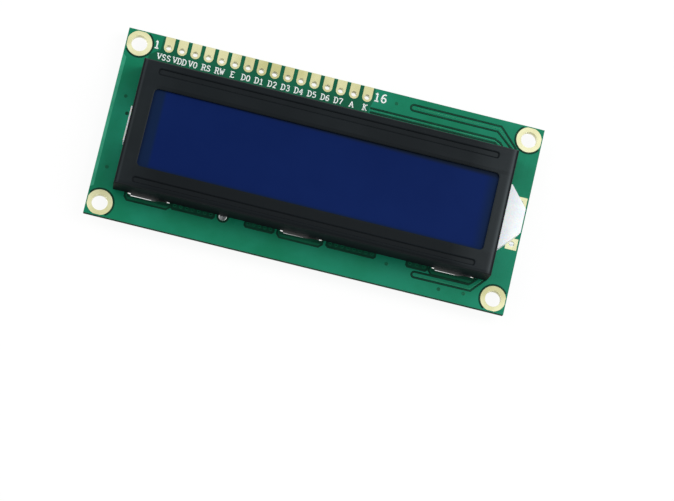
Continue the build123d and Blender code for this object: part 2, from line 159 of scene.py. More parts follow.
bpy.ops.mesh.primitive_plane_add(size=4.0, location=(0.0, 0.0, cad_box[0].z))
floor = bpy.context.active_object
floor.name = "floor"
sheet = bpy.data.materials.new("white_sheet")
sheet.use_nodes = True
tree = sheet.node_tree
tree.nodes.clear()
paper = add_node(tree, "BsdfDiffuse", {"Color": (0.98, 0.98, 0.98, 1.0)}).outputs[0]
shine = add_node(tree, "Emission", {"Strength": 1.0}).outputs[0]
share = compute(tree, "MULTIPLY", light_path_seen(tree), SELF_SHINE)
seen = add_node(tree, "MixShader", {"Fac": share, 1: paper, 2: shine}).outputs[0]
clear = add_node(tree, "BsdfTransparent").outputs[0]
below = add_node(tree, "NewGeometry").outputs["Backfacing"]
both_sides = add_node(tree, "MixShader", {"Fac": below, 1: seen, 2: clear}).outputs[0]
add_node(tree, "OutputMaterial", {"Surface": both_sides})
floor.data.materials.append(sheet)
floor.visible_shadow = False
floor.visible_diffuse = False
floor.visible_glossy = False
print("floor at", round(floor.location.z, 5))

# %% [markdown]
# The light is plain: an even white sky, a soft lamp on the right, a weaker one on the left, and a pair of
# long lamps below that light the rear of the board and draw the two upright streaks on the epoxy drops.
# The upper lamps stand well to the sides, so that flat glossy faces don't mirror them and stay deep in
# colour. They also stand a little behind, so the lower wall of the bezel is dark and its soft shadow falls
# on the board below. The sky is dimmer as a light than it looks.

# %% Sky and lamps
SKY_LIGHT = 0.66
world = bpy.data.worlds.new("white_sky")
bpy.context.scene.world = world
world.use_nodes = True
tree = world.node_tree
tree.nodes.clear()
level = add_node(tree, "MapRange", {"Value": light_path_seen(tree), "To Min": SKY_LIGHT, "To Max": 1.0})
sky = add_node(tree, "Background", {"Color": (1.0, 1.0, 1.0, 1.0), "Strength": level.outputs[0]})
add_node(tree, "OutputWorld", {"Surface": sky.outputs[0]})

for name, place, size, power in (
    ("lamp_right", (0.34, 0.15, 0.48), (0.3, 0.4), 1.8),
    ("lamp_left", (-0.46, 0.16, 0.44), (0.25, 0.4), 1.0),
    ("lamp_below_left", (-0.24, 0.0, -0.5), (0.7, 0.07), 0.5),
    ("lamp_below_right", (0.24, 0.0, -0.5), (0.7, 0.07), 0.5),
):
    lamp = bpy.data.lights.new(name, "AREA")
    lamp.shape = "RECTANGLE"
    lamp.size, lamp.size_y = size
    lamp.energy = power
    holder = bpy.data.objects.new(name, lamp)
    holder.location = place
    holder.rotation_mode = "QUATERNION"
    holder.rotation_quaternion = (-Vector(place)).to_track_quat("-Z", "Y")
    holder.visible_camera = False
    bpy.context.scene.collection.objects.link(holder)

# %% [markdown]
# ## Finishes
# Real surfaces are never one even colour. Two effects are shared by nearly all finishes here, so each is
# a node group that is built once: `tone` drifts between two close colours, and `grain` gives a small
# unevenness of gloss together with a height for a bump. Scales are in waves per metre.

# %% Two shared effects
def new_group(name, inputs, outputs):
    """An empty shader group with named sockets, with its input and output nodes."""
    group = bpy.data.node_groups.new(name, "ShaderNodeTree")
    for label, kind, value in inputs:
        socket = group.interface.new_socket(name=label, in_out="INPUT", socket_type=kind)
        socket.default_value = value
    for label, kind in outputs:
        group.interface.new_socket(name=label, in_out="OUTPUT", socket_type=kind)
    return group, group.nodes.new("NodeGroupInput"), group.nodes.new("NodeGroupOutput")


def spot_of(tree):
    """The place on the object."""
    return add_node(tree, "TexCoord").outputs["Object"]


def noise_of(tree, scale, detail):
    """A noise on object coordinates."""
    sockets = {"Vector": spot_of(tree), "Scale": scale, "Detail": detail, "Roughness": 0.6}
    return add_node(tree, "TexNoise", sockets).outputs["Fac"]


COLOUR, NUMBER = "NodeSocketColor", "NodeSocketFloat"
tone, given, result = new_group(
    "tone",
    [("Scale", NUMBER, 100.0), ("Dark", COLOUR, (0, 0, 0, 1)), ("Light", COLOUR, (1, 1, 1, 1))],
    [("Colour", COLOUR)],
)
noise = noise_of(tone, given.outputs["Scale"], 4.0)
patches = ramp_between(tone, noise, 0.32, 0.68, interpolation_type="SMOOTHSTEP")
drift = mix_colour(tone, patches, given.outputs["Dark"], given.outputs["Light"])
fill_sockets(tone, result, {"Colour": drift})

grain, given, result = new_group(
    "grain",
    [("Scale", NUMBER, 1000.0), ("Glossy", NUMBER, 0.3), ("Dull", NUMBER, 0.5)],
    [("Roughness", NUMBER), ("Height", NUMBER)],
)
noise = noise_of(grain, given.outputs["Scale"], 3.0)
spread = add_node(grain, "MapRange", {
    "Value": noise, "From Min": 0.3, "From Max": 0.7,
    "To Min": given.outputs["Glossy"], "To Max": given.outputs["Dull"],
})
fill_sockets(grain, result, {"Roughness": spread.outputs[0], "Height": noise})
print("groups:", tone.name, grain.name)

# %% [markdown]
# A finish is a Principled shader fed by those two groups. `paint` turns the colour numbers that a
# picture editor shows, 0 to 255, into the linear values that a shader needs.

# %% The usual finish
def paint(red, green, blue):
    """A linear colour from the numbers of a picture editor."""
    def linear(v):
        v = v / 255.0
        return v / 12.92 if v <= 0.04045 else ((v + 0.055) / 1.055) ** 2.4
    return (linear(red), linear(green), linear(blue), 1.0)


def finish(name, dark, light, patch, grit, gloss, bump, metallic=0.0, specular=0.5):
    """A material with a drifting colour, an uneven gloss and a fine bump, whose height is in millimetres."""
    material = bpy.data.materials.new(name)
    material.use_nodes = True
    tree = material.node_tree
    shades = {"Scale": patch, "Dark": paint(*dark), "Light": paint(*light)}
    colours = add_node(tree, "Group", node_tree=tone, name="colours")
    fill_sockets(tree, colours, shades)
    surface = add_node(tree, "Group", node_tree=grain, name="surface")
    fill_sockets(tree, surface, {"Scale": grit, "Glossy": gloss[0], "Dull": gloss[1]})
    height = {"Strength": 1.0, "Distance": bump * MM, "Height": surface.outputs["Height"]}
    relief = add_node(tree, "Bump", height, name="relief")
    fill_sockets(tree, tree.nodes["Principled BSDF"], {
        "Base Color": colours.outputs["Colour"], "Roughness": surface.outputs["Roughness"],
        "Normal": relief.outputs["Normal"], "Metallic": metallic, "Specular IOR Level": specular,
    })
    return material


def parts_of(material):
    """The tree of a finish, its shader and its drifting colour, for adding to it."""
    tree = material.node_tree
    return tree, tree.nodes["Principled BSDF"], tree.nodes["colours"].outputs["Colour"]


print("finish is a shader of", tone.name, "and", grain.name)

# %% [markdown]
# The metals, the epoxy and the ceramic need nothing more. The pads of the pin row get a darker copy of the
# gilding as painted shade. The steep sides of the bezel get a darker, more matt copy of the black paint as painted
# shade.

# %% Metal, paint, epoxy and film
GILT = (90.0, 3000.0, (0.32, 0.5), 0.004, 0.1, 0.3)
gilded_copper = finish("gilded_copper", (200, 198, 146), (232, 231, 190), *GILT)
# Painted shade: a darker copy of the gilding for the pads of the pin row.
shaded_pad_gilding = finish("shaded_pad_gilding", (186, 184, 126), (216, 213, 166), *GILT)
solder = finish("solder", (138, 144, 146), (196, 200, 202), 900.0, 2200.0, (0.22, 0.45), 0.02, 0.9)
black_paint = finish("black_paint", (15, 21, 24), (29, 35, 38), 45.0, 5200.0, (0.36, 0.5), 0.003, 0.0, 0.1)
# Painted shade: a darker, more matt copy of the black paint, for faces that little light reaches.
shaded_flank_paint = finish("shaded_flank_paint", (12, 16, 19), (17, 22, 25), 45.0, 5200.0, (0.5, 0.62), 0.003, 0.0, 0.05)
black_epoxy = finish("black_epoxy", (10, 12, 15), (16, 19, 23), 300.0, 700.0, (0.12, 0.2), 0.006, 0.0, 0.16)
black_ceramic = finish("black_ceramic", (20, 20, 22), (36, 36, 38), 1500.0, 6000.0, (0.35, 0.6), 0.004, 0.0, 0.2)
white_film = finish("white_film", (228, 230, 230), (244, 245, 245), 90.0, 2000.0, (0.4, 0.6), 0.002)
lamp_body = finish("lamp_body", (224, 220, 200), (240, 238, 226), 600.0, 2500.0, (0.3, 0.5), 0.003)
print("finishes so far:", len(bpy.data.materials))

# %% [markdown]
# The bezel's face carries painted light. A painted highlight lies along its left and right folds and grows
# towards its right end. Painted shade makes its upper and lower borders dimmer than the left one, most of all
# just above the window. Shares along X and along Y, in millimetres, say where.

# %% Painted highlight and shade on the bezel's paint
def share_along(tree, axis, reach, stops):
    """A share that follows stops of place and share, along an axis from -reach to reach in millimetres."""
    ramp = add_node(tree, "ValToRGB", {"Fac": ramp_between(tree, axis, -reach * MM, reach * MM)})
    elements = ramp.color_ramp.elements
    for element, (_, share) in ((elements[0], stops[0]), (elements[1], stops[-1])):
        element.color = (share, share, share, 1.0)
    for place, share in stops:
        elements.new((place + reach) / (2 * reach)).color = (share, share, share, 1.0)
    return ramp.outputs["Color"]


tree, shader, colour = parts_of(black_paint)
axes = add_node(tree, "SeparateXYZ", {0: spot_of(tree)}).outputs
# Painted highlight: lighter paint along both folds and towards the right end.
painted_highlight = share_along(tree, axes["X"], 36.0, [
    (-35.2, 0.0), (-35.06, 0.6), (-34.9, 0.0), (27.0, 0.0), (31.5, 0.12),
    (34.2, 0.14), (34.45, 0.2), (34.7, 0.38), (34.9, 0.62), (35.08, 0.5), (35.2, 0.0),
])
# Painted shade: darker upper and lower borders, darkest just above the window.
painted_shade = share_along(tree, axes["Y"], 13.0, [
    (-8.9, 0.95), (-8.2, 0.6), (6.2, 0.6), (6.4, 1.0), (6.9, 1.0), (7.1, 0.6),
])
past_left = ramp_between(tree, axes["X"], -34.0 * MM, -28.0 * MM)
# The shade colour darkens the paint, and the highlight colour lightens it along the folds.
shaded_colour = mix_colour(tree, compute(tree, "MULTIPLY", past_left, painted_shade), colour, paint(4, 10, 14))
fill_sockets(tree, shader, {"Base Color": mix_colour(tree, painted_highlight, shaded_colour, paint(78, 85, 88))})
print("worn paint on", black_paint.name)

# %% [markdown]
# The green of the board is a solder mask: a lacquer that is bright where copper lies under it. It has the
# faint weave of the glass cloth below, and the sawn edge of the board shows the bare laminate in layers,
# darkened as painted shade. The edge is told from the faces by its height alone, and is matt.

# %% Green mask of the board
def bands_of(tree, direction, pitch, distortion):
    """Soft bands of that pitch in millimetres across a direction."""
    sockets = {"Vector": spot_of(tree), "Scale": 2 * math.pi / (20 * pitch * MM), "Distortion": distortion}
    return add_node(tree, "TexWave", sockets, bands_direction=direction).outputs["Fac"]


def bump_over(tree, height, strength, distance):
    """A second relief over that of a finish. The distance is in millimetres."""
    below = tree.nodes["relief"].outputs["Normal"]
    sockets = {"Strength": strength, "Distance": distance * MM, "Height": height, "Normal": below}
    return add_node(tree, "Bump", sockets).outputs["Normal"]


def mask_finish(name, dark, light, patch, gloss=(0.26, 0.38), specular=0.1):
    """A finish of green lacquer."""
    return finish(name, dark, light, patch, 2600.0, gloss, 0.002, 0.0, specular)


board_green = mask_finish("board_green", (8, 113, 80), (22, 126, 97), 70.0)
tree, shader, colour = parts_of(board_green)
weave = compute(tree, "ADD", bands_of(tree, "X", 0.55, 0.6), bands_of(tree, "Y", 0.55, 0.6))
height = add_node(tree, "SeparateXYZ", {0: spot_of(tree)}).outputs["Z"]
inside = {0: height, 1: (FRONT + REAR) / 2, 2: (FRONT - REAR) / 2 - 0.01 * MM}
sawn = add_node(tree, "Math", inside, operation="COMPARE").outputs[0]
# Painted shade: the laminate layers of the sawn edge are darkened.
shaded_laminate = mix_colour(tree, bands_of(tree, "Z", 0.2, 1.5), paint(5, 36, 24), paint(20, 60, 38))
matt = add_node(tree, "Mix", {0: sawn, 2: tree.nodes["surface"].outputs["Roughness"], 3: 0.95})
fill_sockets(tree, shader, {
    "Base Color": mix_colour(tree, sawn, colour, shaded_laminate), "Roughness": matt.outputs[0],
    "Normal": bump_over(tree, weave, 0.35, 0.004),
})
print("board finish:", board_green.name)

# %% [markdown]
# Where there is no copper the mask is darker, and darkest in the narrow gaps. Single tracks are lighter, and a
# thin strip along the board's left edge is lighter as a painted highlight. The marks are printed in white ink.

# %% Other greens, and the ink
bare_mask = mask_finish("bare_mask", (8, 84, 58), (14, 96, 68), 160.0)
# Painted shade in part: the darker ground of the via rows under the bezel's lower wall, and the strips over the
# lower slots.
shaded_bare_mask = mask_finish("shaded_bare_mask", (5, 58, 41), (10, 72, 52), 260.0, (0.28, 0.4))
gap_green = mask_finish("gap_green", (3, 48, 33), (8, 62, 44), 300.0, (0.28, 0.4))
track_green = mask_finish("track_green", (34, 124, 90), (50, 142, 106), 300.0, (0.22, 0.34), 0.15)
# Painted highlight: the pale green of the strip along the left edge.
edge_highlight_green = mask_finish("edge_highlight_green", (46, 142, 110), (62, 160, 127), 300.0)
fine_green = mask_finish("fine_green", (28, 114, 84), (42, 130, 99), 300.0, (0.22, 0.34), 0.12)
white_print = finish("white_print", (226, 234, 230), (246, 249, 247), 900.0, 5000.0, (0.45, 0.65), 0.003)
print("finishes so far:", len(bpy.data.materials))

# %% [markdown]
# The display itself is dark blue: a matt polariser over the cell. Its colour sinks at the left, right and
# lower border of the window, where the blue layer ends, darkened further as painted shade of the bezel's rim,
# and a darker painted shade lies under the upper rim of the bezel. That shade slants a little. Each border is
# a soft ramp between two places in millimetres.

# %% Blue display
display_blue = finish("display_blue", (8, 27, 76), (11, 31, 82), 30.0, 6000.0, (0.3, 0.36), 0.0015, 0.0, 0.03)
tree, shader, colour = parts_of(display_blue)
spot = spot_of(tree)
axes = add_node(tree, "SeparateXYZ", {0: spot}).outputs
slant = add_node(tree, "VectorMath", {0: spot, 1: (0.016, 1.0, 0.0)}, operation="DOT_PRODUCT")
left, right, low, high = [
    ramp_between(tree, axis, start * MM, end * MM, interpolation_type="SMOOTHSTEP")
    for axis, start, end in (
        (axes["X"], -30.8, -30.0), (axes["X"], 33.2, 30.2), (axes["Y"], -8.7, -7.8),
        (slant.outputs["Value"], 6.5, 5.6),
    )
]
# Painted shade: the left, right and lower borders sink to a darker blue.
inside = compute(tree, "MULTIPLY", compute(tree, "MULTIPLY", left, right), low)
sunk = mix_colour(tree, compute(tree, "POWER", inside, 1.2), paint(14, 31, 61), colour)
# Painted shade under the upper rim of the bezel.
fill_sockets(tree, shader, {"Base Color": mix_colour(tree, high, paint(15, 25, 42), sunk)})
print("display finish:", display_blue.name)

# %% [markdown]
# White moulded plastic lets a little light in and has fine flow lines from the mould. The clear light
# guide and the glass are real glass shaders, and the contact strips are rubber in very fine layers,
# dark and light in turn along their length.

# %% Plastic, glass and rubber
white_plastic = finish("white_plastic", (236, 240, 245), (249, 251, 253), 250.0, 2500.0, (0.32, 0.45), 0.003)
tree, shader, _ = parts_of(white_plastic)
flow = bump_over(tree, bands_of(tree, "Y", 1.1, 2.0), 0.5, 0.01)
fill_sockets(tree, shader, {"Normal": flow, "Subsurface Weight": 0.15, "Subsurface Scale": 1.0 * MM})

cell_glass = finish("cell_glass", (226, 238, 232), (238, 246, 242), 60.0, 400.0, (0.02, 0.05), 0.0005)
clear_acrylic = finish("clear_acrylic", (238, 242, 244), (248, 250, 250), 60.0, 600.0, (0.03, 0.08), 0.001)
for material, bending in ((cell_glass, 1.52), (clear_acrylic, 1.49)):
    tree, shader, _ = parts_of(material)
    fill_sockets(tree, shader, {"Transmission Weight": 1.0, "IOR": bending})

strip_rubber = finish("strip_rubber", (60, 56, 58), (214, 176, 172), 200.0, 3000.0, (0.5, 0.7), 0.004)
tree, shader, colour = parts_of(strip_rubber)
stripes = mix_colour(tree, bands_of(tree, "X", 0.25, 2.0), paint(48, 46, 48), colour)
fill_sockets(tree, shader, {"Base Color": stripes})
print("finishes:", len(bpy.data.materials))

# %% [markdown]
# Now each CAD node gets its finish. The nodes that will be replaced by a better piece later get one too,
# so nothing is ever left bare.

# %% Finish of each CAD node
node_finishes = {
    board_green: ["circuit_board"],
    bare_mask: ["tooling_eyelets"],
    gilded_copper: [
        "mounting_rings", "backlight_pads", "tab_pads", "capacitor_pads", "chip_pads", "jumper_pads",
        "resistor_pads", "contact_fingers",
    ],
    shaded_pad_gilding: ["header_pads"],
    solder: ["jumper_solder", "resistor_caps", "resistor_solder", "led_leads", "led_solder"],
    black_epoxy: ["controller_blob", "driver_blob"],
    black_ceramic: [n for n in nodes if n.startswith(("resistor_", "lamp_resistor_")) and n[-1].isdigit()],
    white_plastic: ["backlight_housing"],
    white_film: ["reflector_film", "diffuser_film"],
    clear_acrylic: ["light_guide"],
    lamp_body: ["led"],
    display_blue: ["rear_polariser", "front_polariser"],
    cell_glass: ["rear_glass", "front_glass"],
    strip_rubber: ["contact_strip_lower", "contact_strip_upper"],
    black_paint: ["bezel"],
}
for material, names in node_finishes.items():
    for name in names:
        nodes[name].data.materials.clear()
        nodes[name].data.materials.append(material)
print(sum(len(v) for v in node_finishes.values()), "nodes finished")

# %% [markdown]
# ## Softened edges
# A folded and painted sheet has no knife edges, and neither has moulded plastic or a chip. Such a piece
# starts as a copy of its CAD node. The loose triangles are merged and the flat ones joined, and a narrow
# bevel then runs along every corner, so that the light catches it. The copy stands for the node.

# %% Helpers for softened copies
def only(piece):
    """Leaves that one object selected and active."""
    bpy.ops.object.select_all(action="DESELECT")
    piece.select_set(True)
    bpy.context.view_layer.objects.active = piece


def merged_copy(node, name):
    """A copy of a CAD node whose triangles are joined into whole faces."""
    piece = bpy.data.objects.new(name, nodes[node].data.copy())
    bpy.context.scene.collection.objects.link(piece)
    only(piece)
    bpy.ops.mesh.customdata_custom_splitnormals_clear()
    bpy.ops.object.mode_set(mode="EDIT")
    bpy.ops.mesh.select_all(action="SELECT")
    bpy.ops.mesh.remove_doubles(threshold=1e-7)
    bpy.ops.mesh.dissolve_limited(angle_limit=math.radians(0.6))
    bpy.ops.object.mode_set(mode="OBJECT")
    return piece


def soften(piece, width, node):
    """A narrow bevel on all corners, its width in millimetres, for a piece that stands for its node."""
    only(piece)
    edge = piece.modifiers.new("edge", "BEVEL")
    edge.limit_method = "ANGLE"
    edge.angle_limit = math.radians(38.0)
    edge.width = width * MM
    edge.segments = 2
    bpy.ops.object.modifier_apply(modifier="edge")
    bpy.ops.object.shade_smooth_by_angle(angle=math.radians(32.0))
    flat = piece.modifiers.new("flat", "WEIGHTED_NORMAL")
    flat.keep_sharp = True
    flat.weight = 100
    bpy.ops.object.modifier_apply(modifier="flat")
    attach(piece, "root")
    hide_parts(node)


def pick(piece, kind, test):
    """Goes to edit mode with only those points, edges or faces selected whose corners pass a test."""
    only(piece)
    bpy.ops.object.mode_set(mode="EDIT")
    bpy.ops.mesh.select_mode(type=kind)
    bpy.ops.mesh.select_all(action="DESELECT")
    bpy.ops.object.mode_set(mode="OBJECT")
    mesh = piece.data
    if kind == "VERT":
        for vertex in mesh.vertices:
            vertex.select = bool(test(vertex.co / MM))
    else:
        for item in mesh.edges if kind == "EDGE" else mesh.polygons:
            item.select = bool(test(*[mesh.vertices[n].co / MM for n in item.vertices]))
    bpy.ops.object.mode_set(mode="EDIT")


print("softening helpers ready")

# %% [markdown]
# The bezel is pressed from sheet. Its two long grooves were struck with a round tool, so they have soft
# flanks and round ends, and both flanks show as lines from above. The rim of the window is drawn inwards in
# the same way. In CAD these are plain steps, so here the upright corners of each groove are rounded, and the
# flat of the face is taken away.

# %% Bezel: round the groove ends and open the face
bezel = merged_copy("bezel", "bezel_sheet")
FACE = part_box("bezel")[1].z / MM
GROOVE_MIDDLES = [(-0.25, -11.15), (-0.25, 9.95)]
GROOVE_SIZE = (64.8, 1.07)
GROOVE_END = 0.42
WINDOW_MIDDLE = (0.45, -0.85)
WINDOW_SIZE = (64.6, 14.4)


def near_rim(point, middle, size, deep=0.3):
    """True for a point of the face that lies inside a rectangle or on its rim."""
    inside = abs(point.x - middle[0]) < size[0] / 2 + 0.02 and abs(point.y - middle[1]) < size[1] / 2 + 0.02
    return inside and point.z > FACE - deep


def on_face(point):
    """True for a point of the flat face."""
    return abs(point.z - FACE) < 0.005


def groove_corner(a, b, middle):
    """True for the two ends of an upright edge of a groove."""
    return (a - b).xy.length < 0.01 and near_rim(a, middle, GROOVE_SIZE) and near_rim(b, middle, GROOVE_SIZE)


for middle in GROOVE_MIDDLES:
    pick(bezel, "EDGE", lambda a, b: groove_corner(a, b, middle))
    bpy.ops.mesh.bevel(offset=GROOVE_END * MM, segments=4, affect="EDGES")
    bpy.ops.object.mode_set(mode="OBJECT")
pick(bezel, "FACE", lambda *corners: all(on_face(corner) for corner in corners))
bpy.ops.mesh.delete(type="FACE")
bpy.ops.object.mode_set(mode="OBJECT")
print("bezel faces left:", len(bezel.data.polygons))

# %% [markdown]
# Grooves and window are then brought to the places that were measured last, a few tenths of a millimetre
# from those in CAD. Each rim is sunk and flared out again in small steps of out and up, and the flat is
# filled in between the flared rims.

# %% Bezel: flare the rims and fill the face
def widen(middle, size, out):
    """Grows what is selected, so that a rectangle of that size is wider by out on each side."""
    grow = ((size[0] + 2 * out) / size[0], (size[1] + 2 * out) / size[1], 1.0)
    bpy.ops.transform.resize(value=grow, center_override=(middle[0] * MM, middle[1] * MM, FACE * MM))
    return size[0] + 2 * out, size[1] + 2 * out


def flare_rim(piece, middle, size, steps):
    """Sinks the rim round a rectangle, then flares it out and up in steps of out and up in millimetres."""
    pick(piece, "VERT", lambda point: on_face(point) and near_rim(point, middle, size))
    bpy.ops.mesh.select_mode(type="EDGE")
    bpy.ops.transform.translate(value=(0, 0, -sum(up for _, up in steps) * MM))
    for out, up in steps:
        bpy.ops.mesh.extrude_edges_move(TRANSFORM_OT_translate={"value": (0, 0, up * MM)})
        size = widen(middle, size, out)
    bpy.ops.object.mode_set(mode="OBJECT")


def fit_rim(old_middle, old_size, middle, size):
    """Moves and stretches what is selected from one rectangle to another."""
    bpy.ops.transform.resize(
        value=(size[0] / old_size[0], size[1] / old_size[1], 1.0),
        center_override=(old_middle[0] * MM, old_middle[1] * MM, FACE * MM),
    )
    bpy.ops.transform.translate(
        value=((middle[0] - old_middle[0]) * MM, (middle[1] - old_middle[1]) * MM, 0.0)
    )


FLANK = [(0.03, 0.06), (0.05, 0.05), (0.07, 0.03), (0.09, 0.01)]
RIM = [(0.06, 0.03), (0.08, 0.02), (0.1, 0.01)]
STRUCK = [((-0.25, -11.1), (64.8, 1.31)), ((-0.25, 9.62), (64.8, 1.36))]
OPENING_MIDDLE = (0.25, -1.075)
OPENING_SIZE = (65.5, 14.85)
for old_middle, (middle, size) in zip(GROOVE_MIDDLES, STRUCK):
    pick(bezel, "VERT", lambda point: near_rim(point, old_middle, GROOVE_SIZE))
    fit_rim(old_middle, GROOVE_SIZE, middle, size)
    floor_size = widen(middle, size, -sum(out for out, _ in FLANK))
    bpy.ops.object.mode_set(mode="OBJECT")
    flare_rim(bezel, middle, floor_size, FLANK)
pick(bezel, "VERT", lambda point: near_rim(point, WINDOW_MIDDLE, WINDOW_SIZE, 0.7))
fit_rim(WINDOW_MIDDLE, WINDOW_SIZE, OPENING_MIDDLE, OPENING_SIZE)
bpy.ops.object.mode_set(mode="OBJECT")
flare_rim(bezel, OPENING_MIDDLE, OPENING_SIZE, RIM)
bpy.ops.object.mode_set(mode="EDIT")
bpy.ops.mesh.select_mode(type="EDGE")
bpy.ops.mesh.select_all(action="DESELECT")
bpy.ops.mesh.select_non_manifold(
    extend=False, use_wire=False, use_boundary=True,
    use_multi_face=False, use_non_contiguous=False, use_verts=False,
)
bpy.ops.mesh.fill(use_beauty=True)
bpy.ops.mesh.select_all(action="SELECT")
bpy.ops.mesh.normals_make_consistent(inside=False)
bpy.ops.object.mode_set(mode="OBJECT")
print("bezel faces with the flat:", len(bezel.data.polygons))

# %% [markdown]
# The right end and the upper edge are set out by a little. The flanks of the grooves and the walls get the
# darker, matt paint as painted shade, because hardly any light reaches them.

# %% Bezel: set out two sides, paint shade on flanks and walls
def set_out(test, move):
    """Moves those points of the bezel that pass a test, by millimetres."""
    pick(bezel, "VERT", test)
    bpy.ops.transform.translate(value=tuple(v * MM for v in move))
    bpy.ops.object.mode_set(mode="OBJECT")


LEFT_WALL, RIGHT_WALL, BEZEL_Y, LONG_WALL, WALL_FOOT = -35.42, 35.17, -0.6, 11.78, 1.2
RIGHT_END, UPPER_EDGE, ABOVE_SLITS = 34.6, 10.6, 2.0
SET_OUT = 0.3
set_out(lambda point: point.x > RIGHT_END, (SET_OUT, 0.0, 0.0))
# Painted shade on the flanks of the grooves and on the walls.
bezel.data.materials.append(shaded_flank_paint)
for polygon in bezel.data.polygons:
    spot = polygon.center / MM
    sunk = FACE - 0.24 < spot.z < FACE - 0.003
    flank = sunk and any(near_rim(spot, middle, size) for middle, size in STRUCK)
    beside = spot.x < LEFT_WALL or spot.x > RIGHT_WALL or abs(spot.y - BEZEL_Y) > LONG_WALL
    if flank or (beside and spot.z > WALL_FOOT):
        polygon.material_index = 1
set_out(lambda point: point.y > UPPER_EDGE and point.z > ABOVE_SLITS, (0.0, SET_OUT, 0.0))
soften(bezel, 0.07, "bezel")
print("bezel faces:", len(bezel.data.polygons))

# %% [markdown]
# The white shell of the backlight, the small chips, their silvered ends and the solder beside them need no
# other shaping than softened edges. The rings of the mounting holes are drawn in a little as well.

# %% Backlight housing, chips and rings
soft_nodes = [
    ("backlight_housing", "backlight_shell", 0.12, "white_plastic"),
    ("resistor_caps", "resistor_ends", 0.05, "solder"),
    ("resistor_solder", "resistor_fillets", 0.1, "solder"),
]
soft_nodes += [(node, node + "_body", 0.04, "resistor_ceramic") for node in node_finishes[black_ceramic]]
for node, name, width, slot in soft_nodes:
    soften(merged_copy(node, name), width, node)
DRAWN_IN = 0.923
hole_rings = merged_copy("mounting_rings", "gilded_rings")
for x, y in MOUNTING_HOLES:
    pick(hole_rings, "VERT", lambda point: 2.2 < (point.xy - Vector((x, y))).length < 3.0)
    bpy.ops.transform.resize(value=(DRAWN_IN, DRAWN_IN, 1.0), center_override=(x * MM, y * MM, 0.0))
    bpy.ops.object.mode_set(mode="OBJECT")
soften(hole_rings, 0.015, "mounting_rings")
print("chips:", len(node_finishes[black_ceramic]))

# %% [markdown]
# ## Copper under the mask
# The tracks are too thin to be solids. Most of the board is one copper plane under the mask, cut by
# narrow gaps that look dark, so on those parts the gaps are drawn. Around the two chips the plane is
# missing, and thin bright tracks run over a darker ground. A line is a curve with a round bevel, made a
# mesh and pressed flat, so it is a low ridge on the board.

# %% Helpers for lines and patches
def lay_flat(piece, name, flat, level, material):
    """Presses a piece flat, lifts it to its level, puts its place into its mesh and dresses it."""
    only(piece)
    piece.scale.z = flat
    piece.location.z = level
    bpy.ops.object.transform_apply(location=True, rotation=True, scale=True)
    piece.name = name
    piece.data.materials.clear()
    piece.data.materials.append(material)
    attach(piece, "root")
    return piece


def new_curve(lines, closed):
    """A curve object with one straight-sided run for each line of points in millimetres."""
    curve = bpy.data.curves.new("line", "CURVE")
    for line in lines:
        run = curve.splines.new("POLY")
        run.points.add(len(line) - 1)
        for point, (x, y) in zip(run.points, line):
            point.co = (x * MM, y * MM, 0.0, 1.0)
        run.use_cyclic_u = closed
    piece = bpy.data.objects.new("line", curve)
    bpy.context.scene.collection.objects.link(piece)
    return piece


def draw_lines(name, lines, width, height, level, material, closed=False):
    """Low ridges along lines of points. Width and height are in millimetres, the level in metres."""
    piece = new_curve(lines, closed)
    piece.data.dimensions = "3D"
    piece.data.bevel_depth = width / 2 * MM
    piece.data.bevel_resolution = 1
    piece.data.use_fill_caps = True
    only(piece)
    bpy.ops.object.convert(target="MESH")
    return lay_flat(bpy.context.active_object, name, height / (width / 2), level, material)


def fill_patches(name, outlines, height, level, material):
    """Thin flat patches inside closed outlines. Height is in millimetres, the level in metres."""
    piece = new_curve(outlines, True)
    piece.data.dimensions = "2D"
    piece.data.fill_mode = "BOTH"
    piece.data.extrude = height * MM
    only(piece)
    bpy.ops.object.convert(target="MESH")
    return lay_flat(bpy.context.active_object, name, 1.0, level, material)


def shifted(line, distance):
    """A line moved sideways by a distance, with its corners mitred."""
    points = [Vector(p) for p in line]
    sides = []
    for a, b in zip(points, points[1:]):
        run = (b - a).normalized()
        sides.append(Vector((-run.y, run.x)))
    moved = [points[0] + sides[0] * distance]
    for n in range(1, len(points) - 1):
        middle = sides[n - 1] + sides[n]
        moved.append(points[n] + middle * distance / (1.0 + sides[n - 1].dot(sides[n])))
    moved.append(points[-1] + sides[-1] * distance)
    return [(p.x, p.y) for p in moved]


def bundle(line, count, pitch):
    """Parallel lines beside each other, as a bus of tracks runs."""
    return [shifted(line, n * pitch) for n in range(count)]


def arc(x, y, radius, start, end, steps):
    """Points on part of a circle, from one angle to another in degrees."""
    turns = [math.radians(start + (end - start) * n / steps) for n in range(steps + 1)]
    return [(x + radius * math.cos(t), y + radius * math.sin(t)) for t in turns]


def ring(x, y, radius, steps):
    """Points of a whole circle."""
    return arc(x, y, radius, 0.0, 360.0, steps)[:-1]


print("line helpers ready")

# %% [markdown]
# On the front the copper plane is almost whole. It ends round the row of pins, round the slots of the bezel's
# tabs and round the rows of vias, and there the mask is darker; round the vias it is darker still, as painted
# shade under the bezel's lower wall. Along the left edge a narrow strip is paler, a painted highlight. Strips
# of painted shade lie over the lower slots, so only a strip of each stays open.

# %% Bare ground of the front
via_rows = [
    [-23.9 + 1.14 * n for n in range(7)],
    [-9.9 + 1.05 * n for n in range(5)],
    [5.7 + 1.14 * n for n in range(8)],
    [20.95 + 1.33 * n for n in range(3)],
]
VIA_Y = -12.75
SLOT_X = (-28.9, 0.1, 29.1)


def via_patch(row):
    """Outline of the bare ground round a row of vias, with chamfered ends."""
    start, end = row[0] - 0.65, row[-1] + 0.65
    return [
        (start + 0.3, -13.45), (end - 0.3, -13.45), (end, -13.15), (end, -11.9), (start, -11.9), (start, -13.15)
    ]


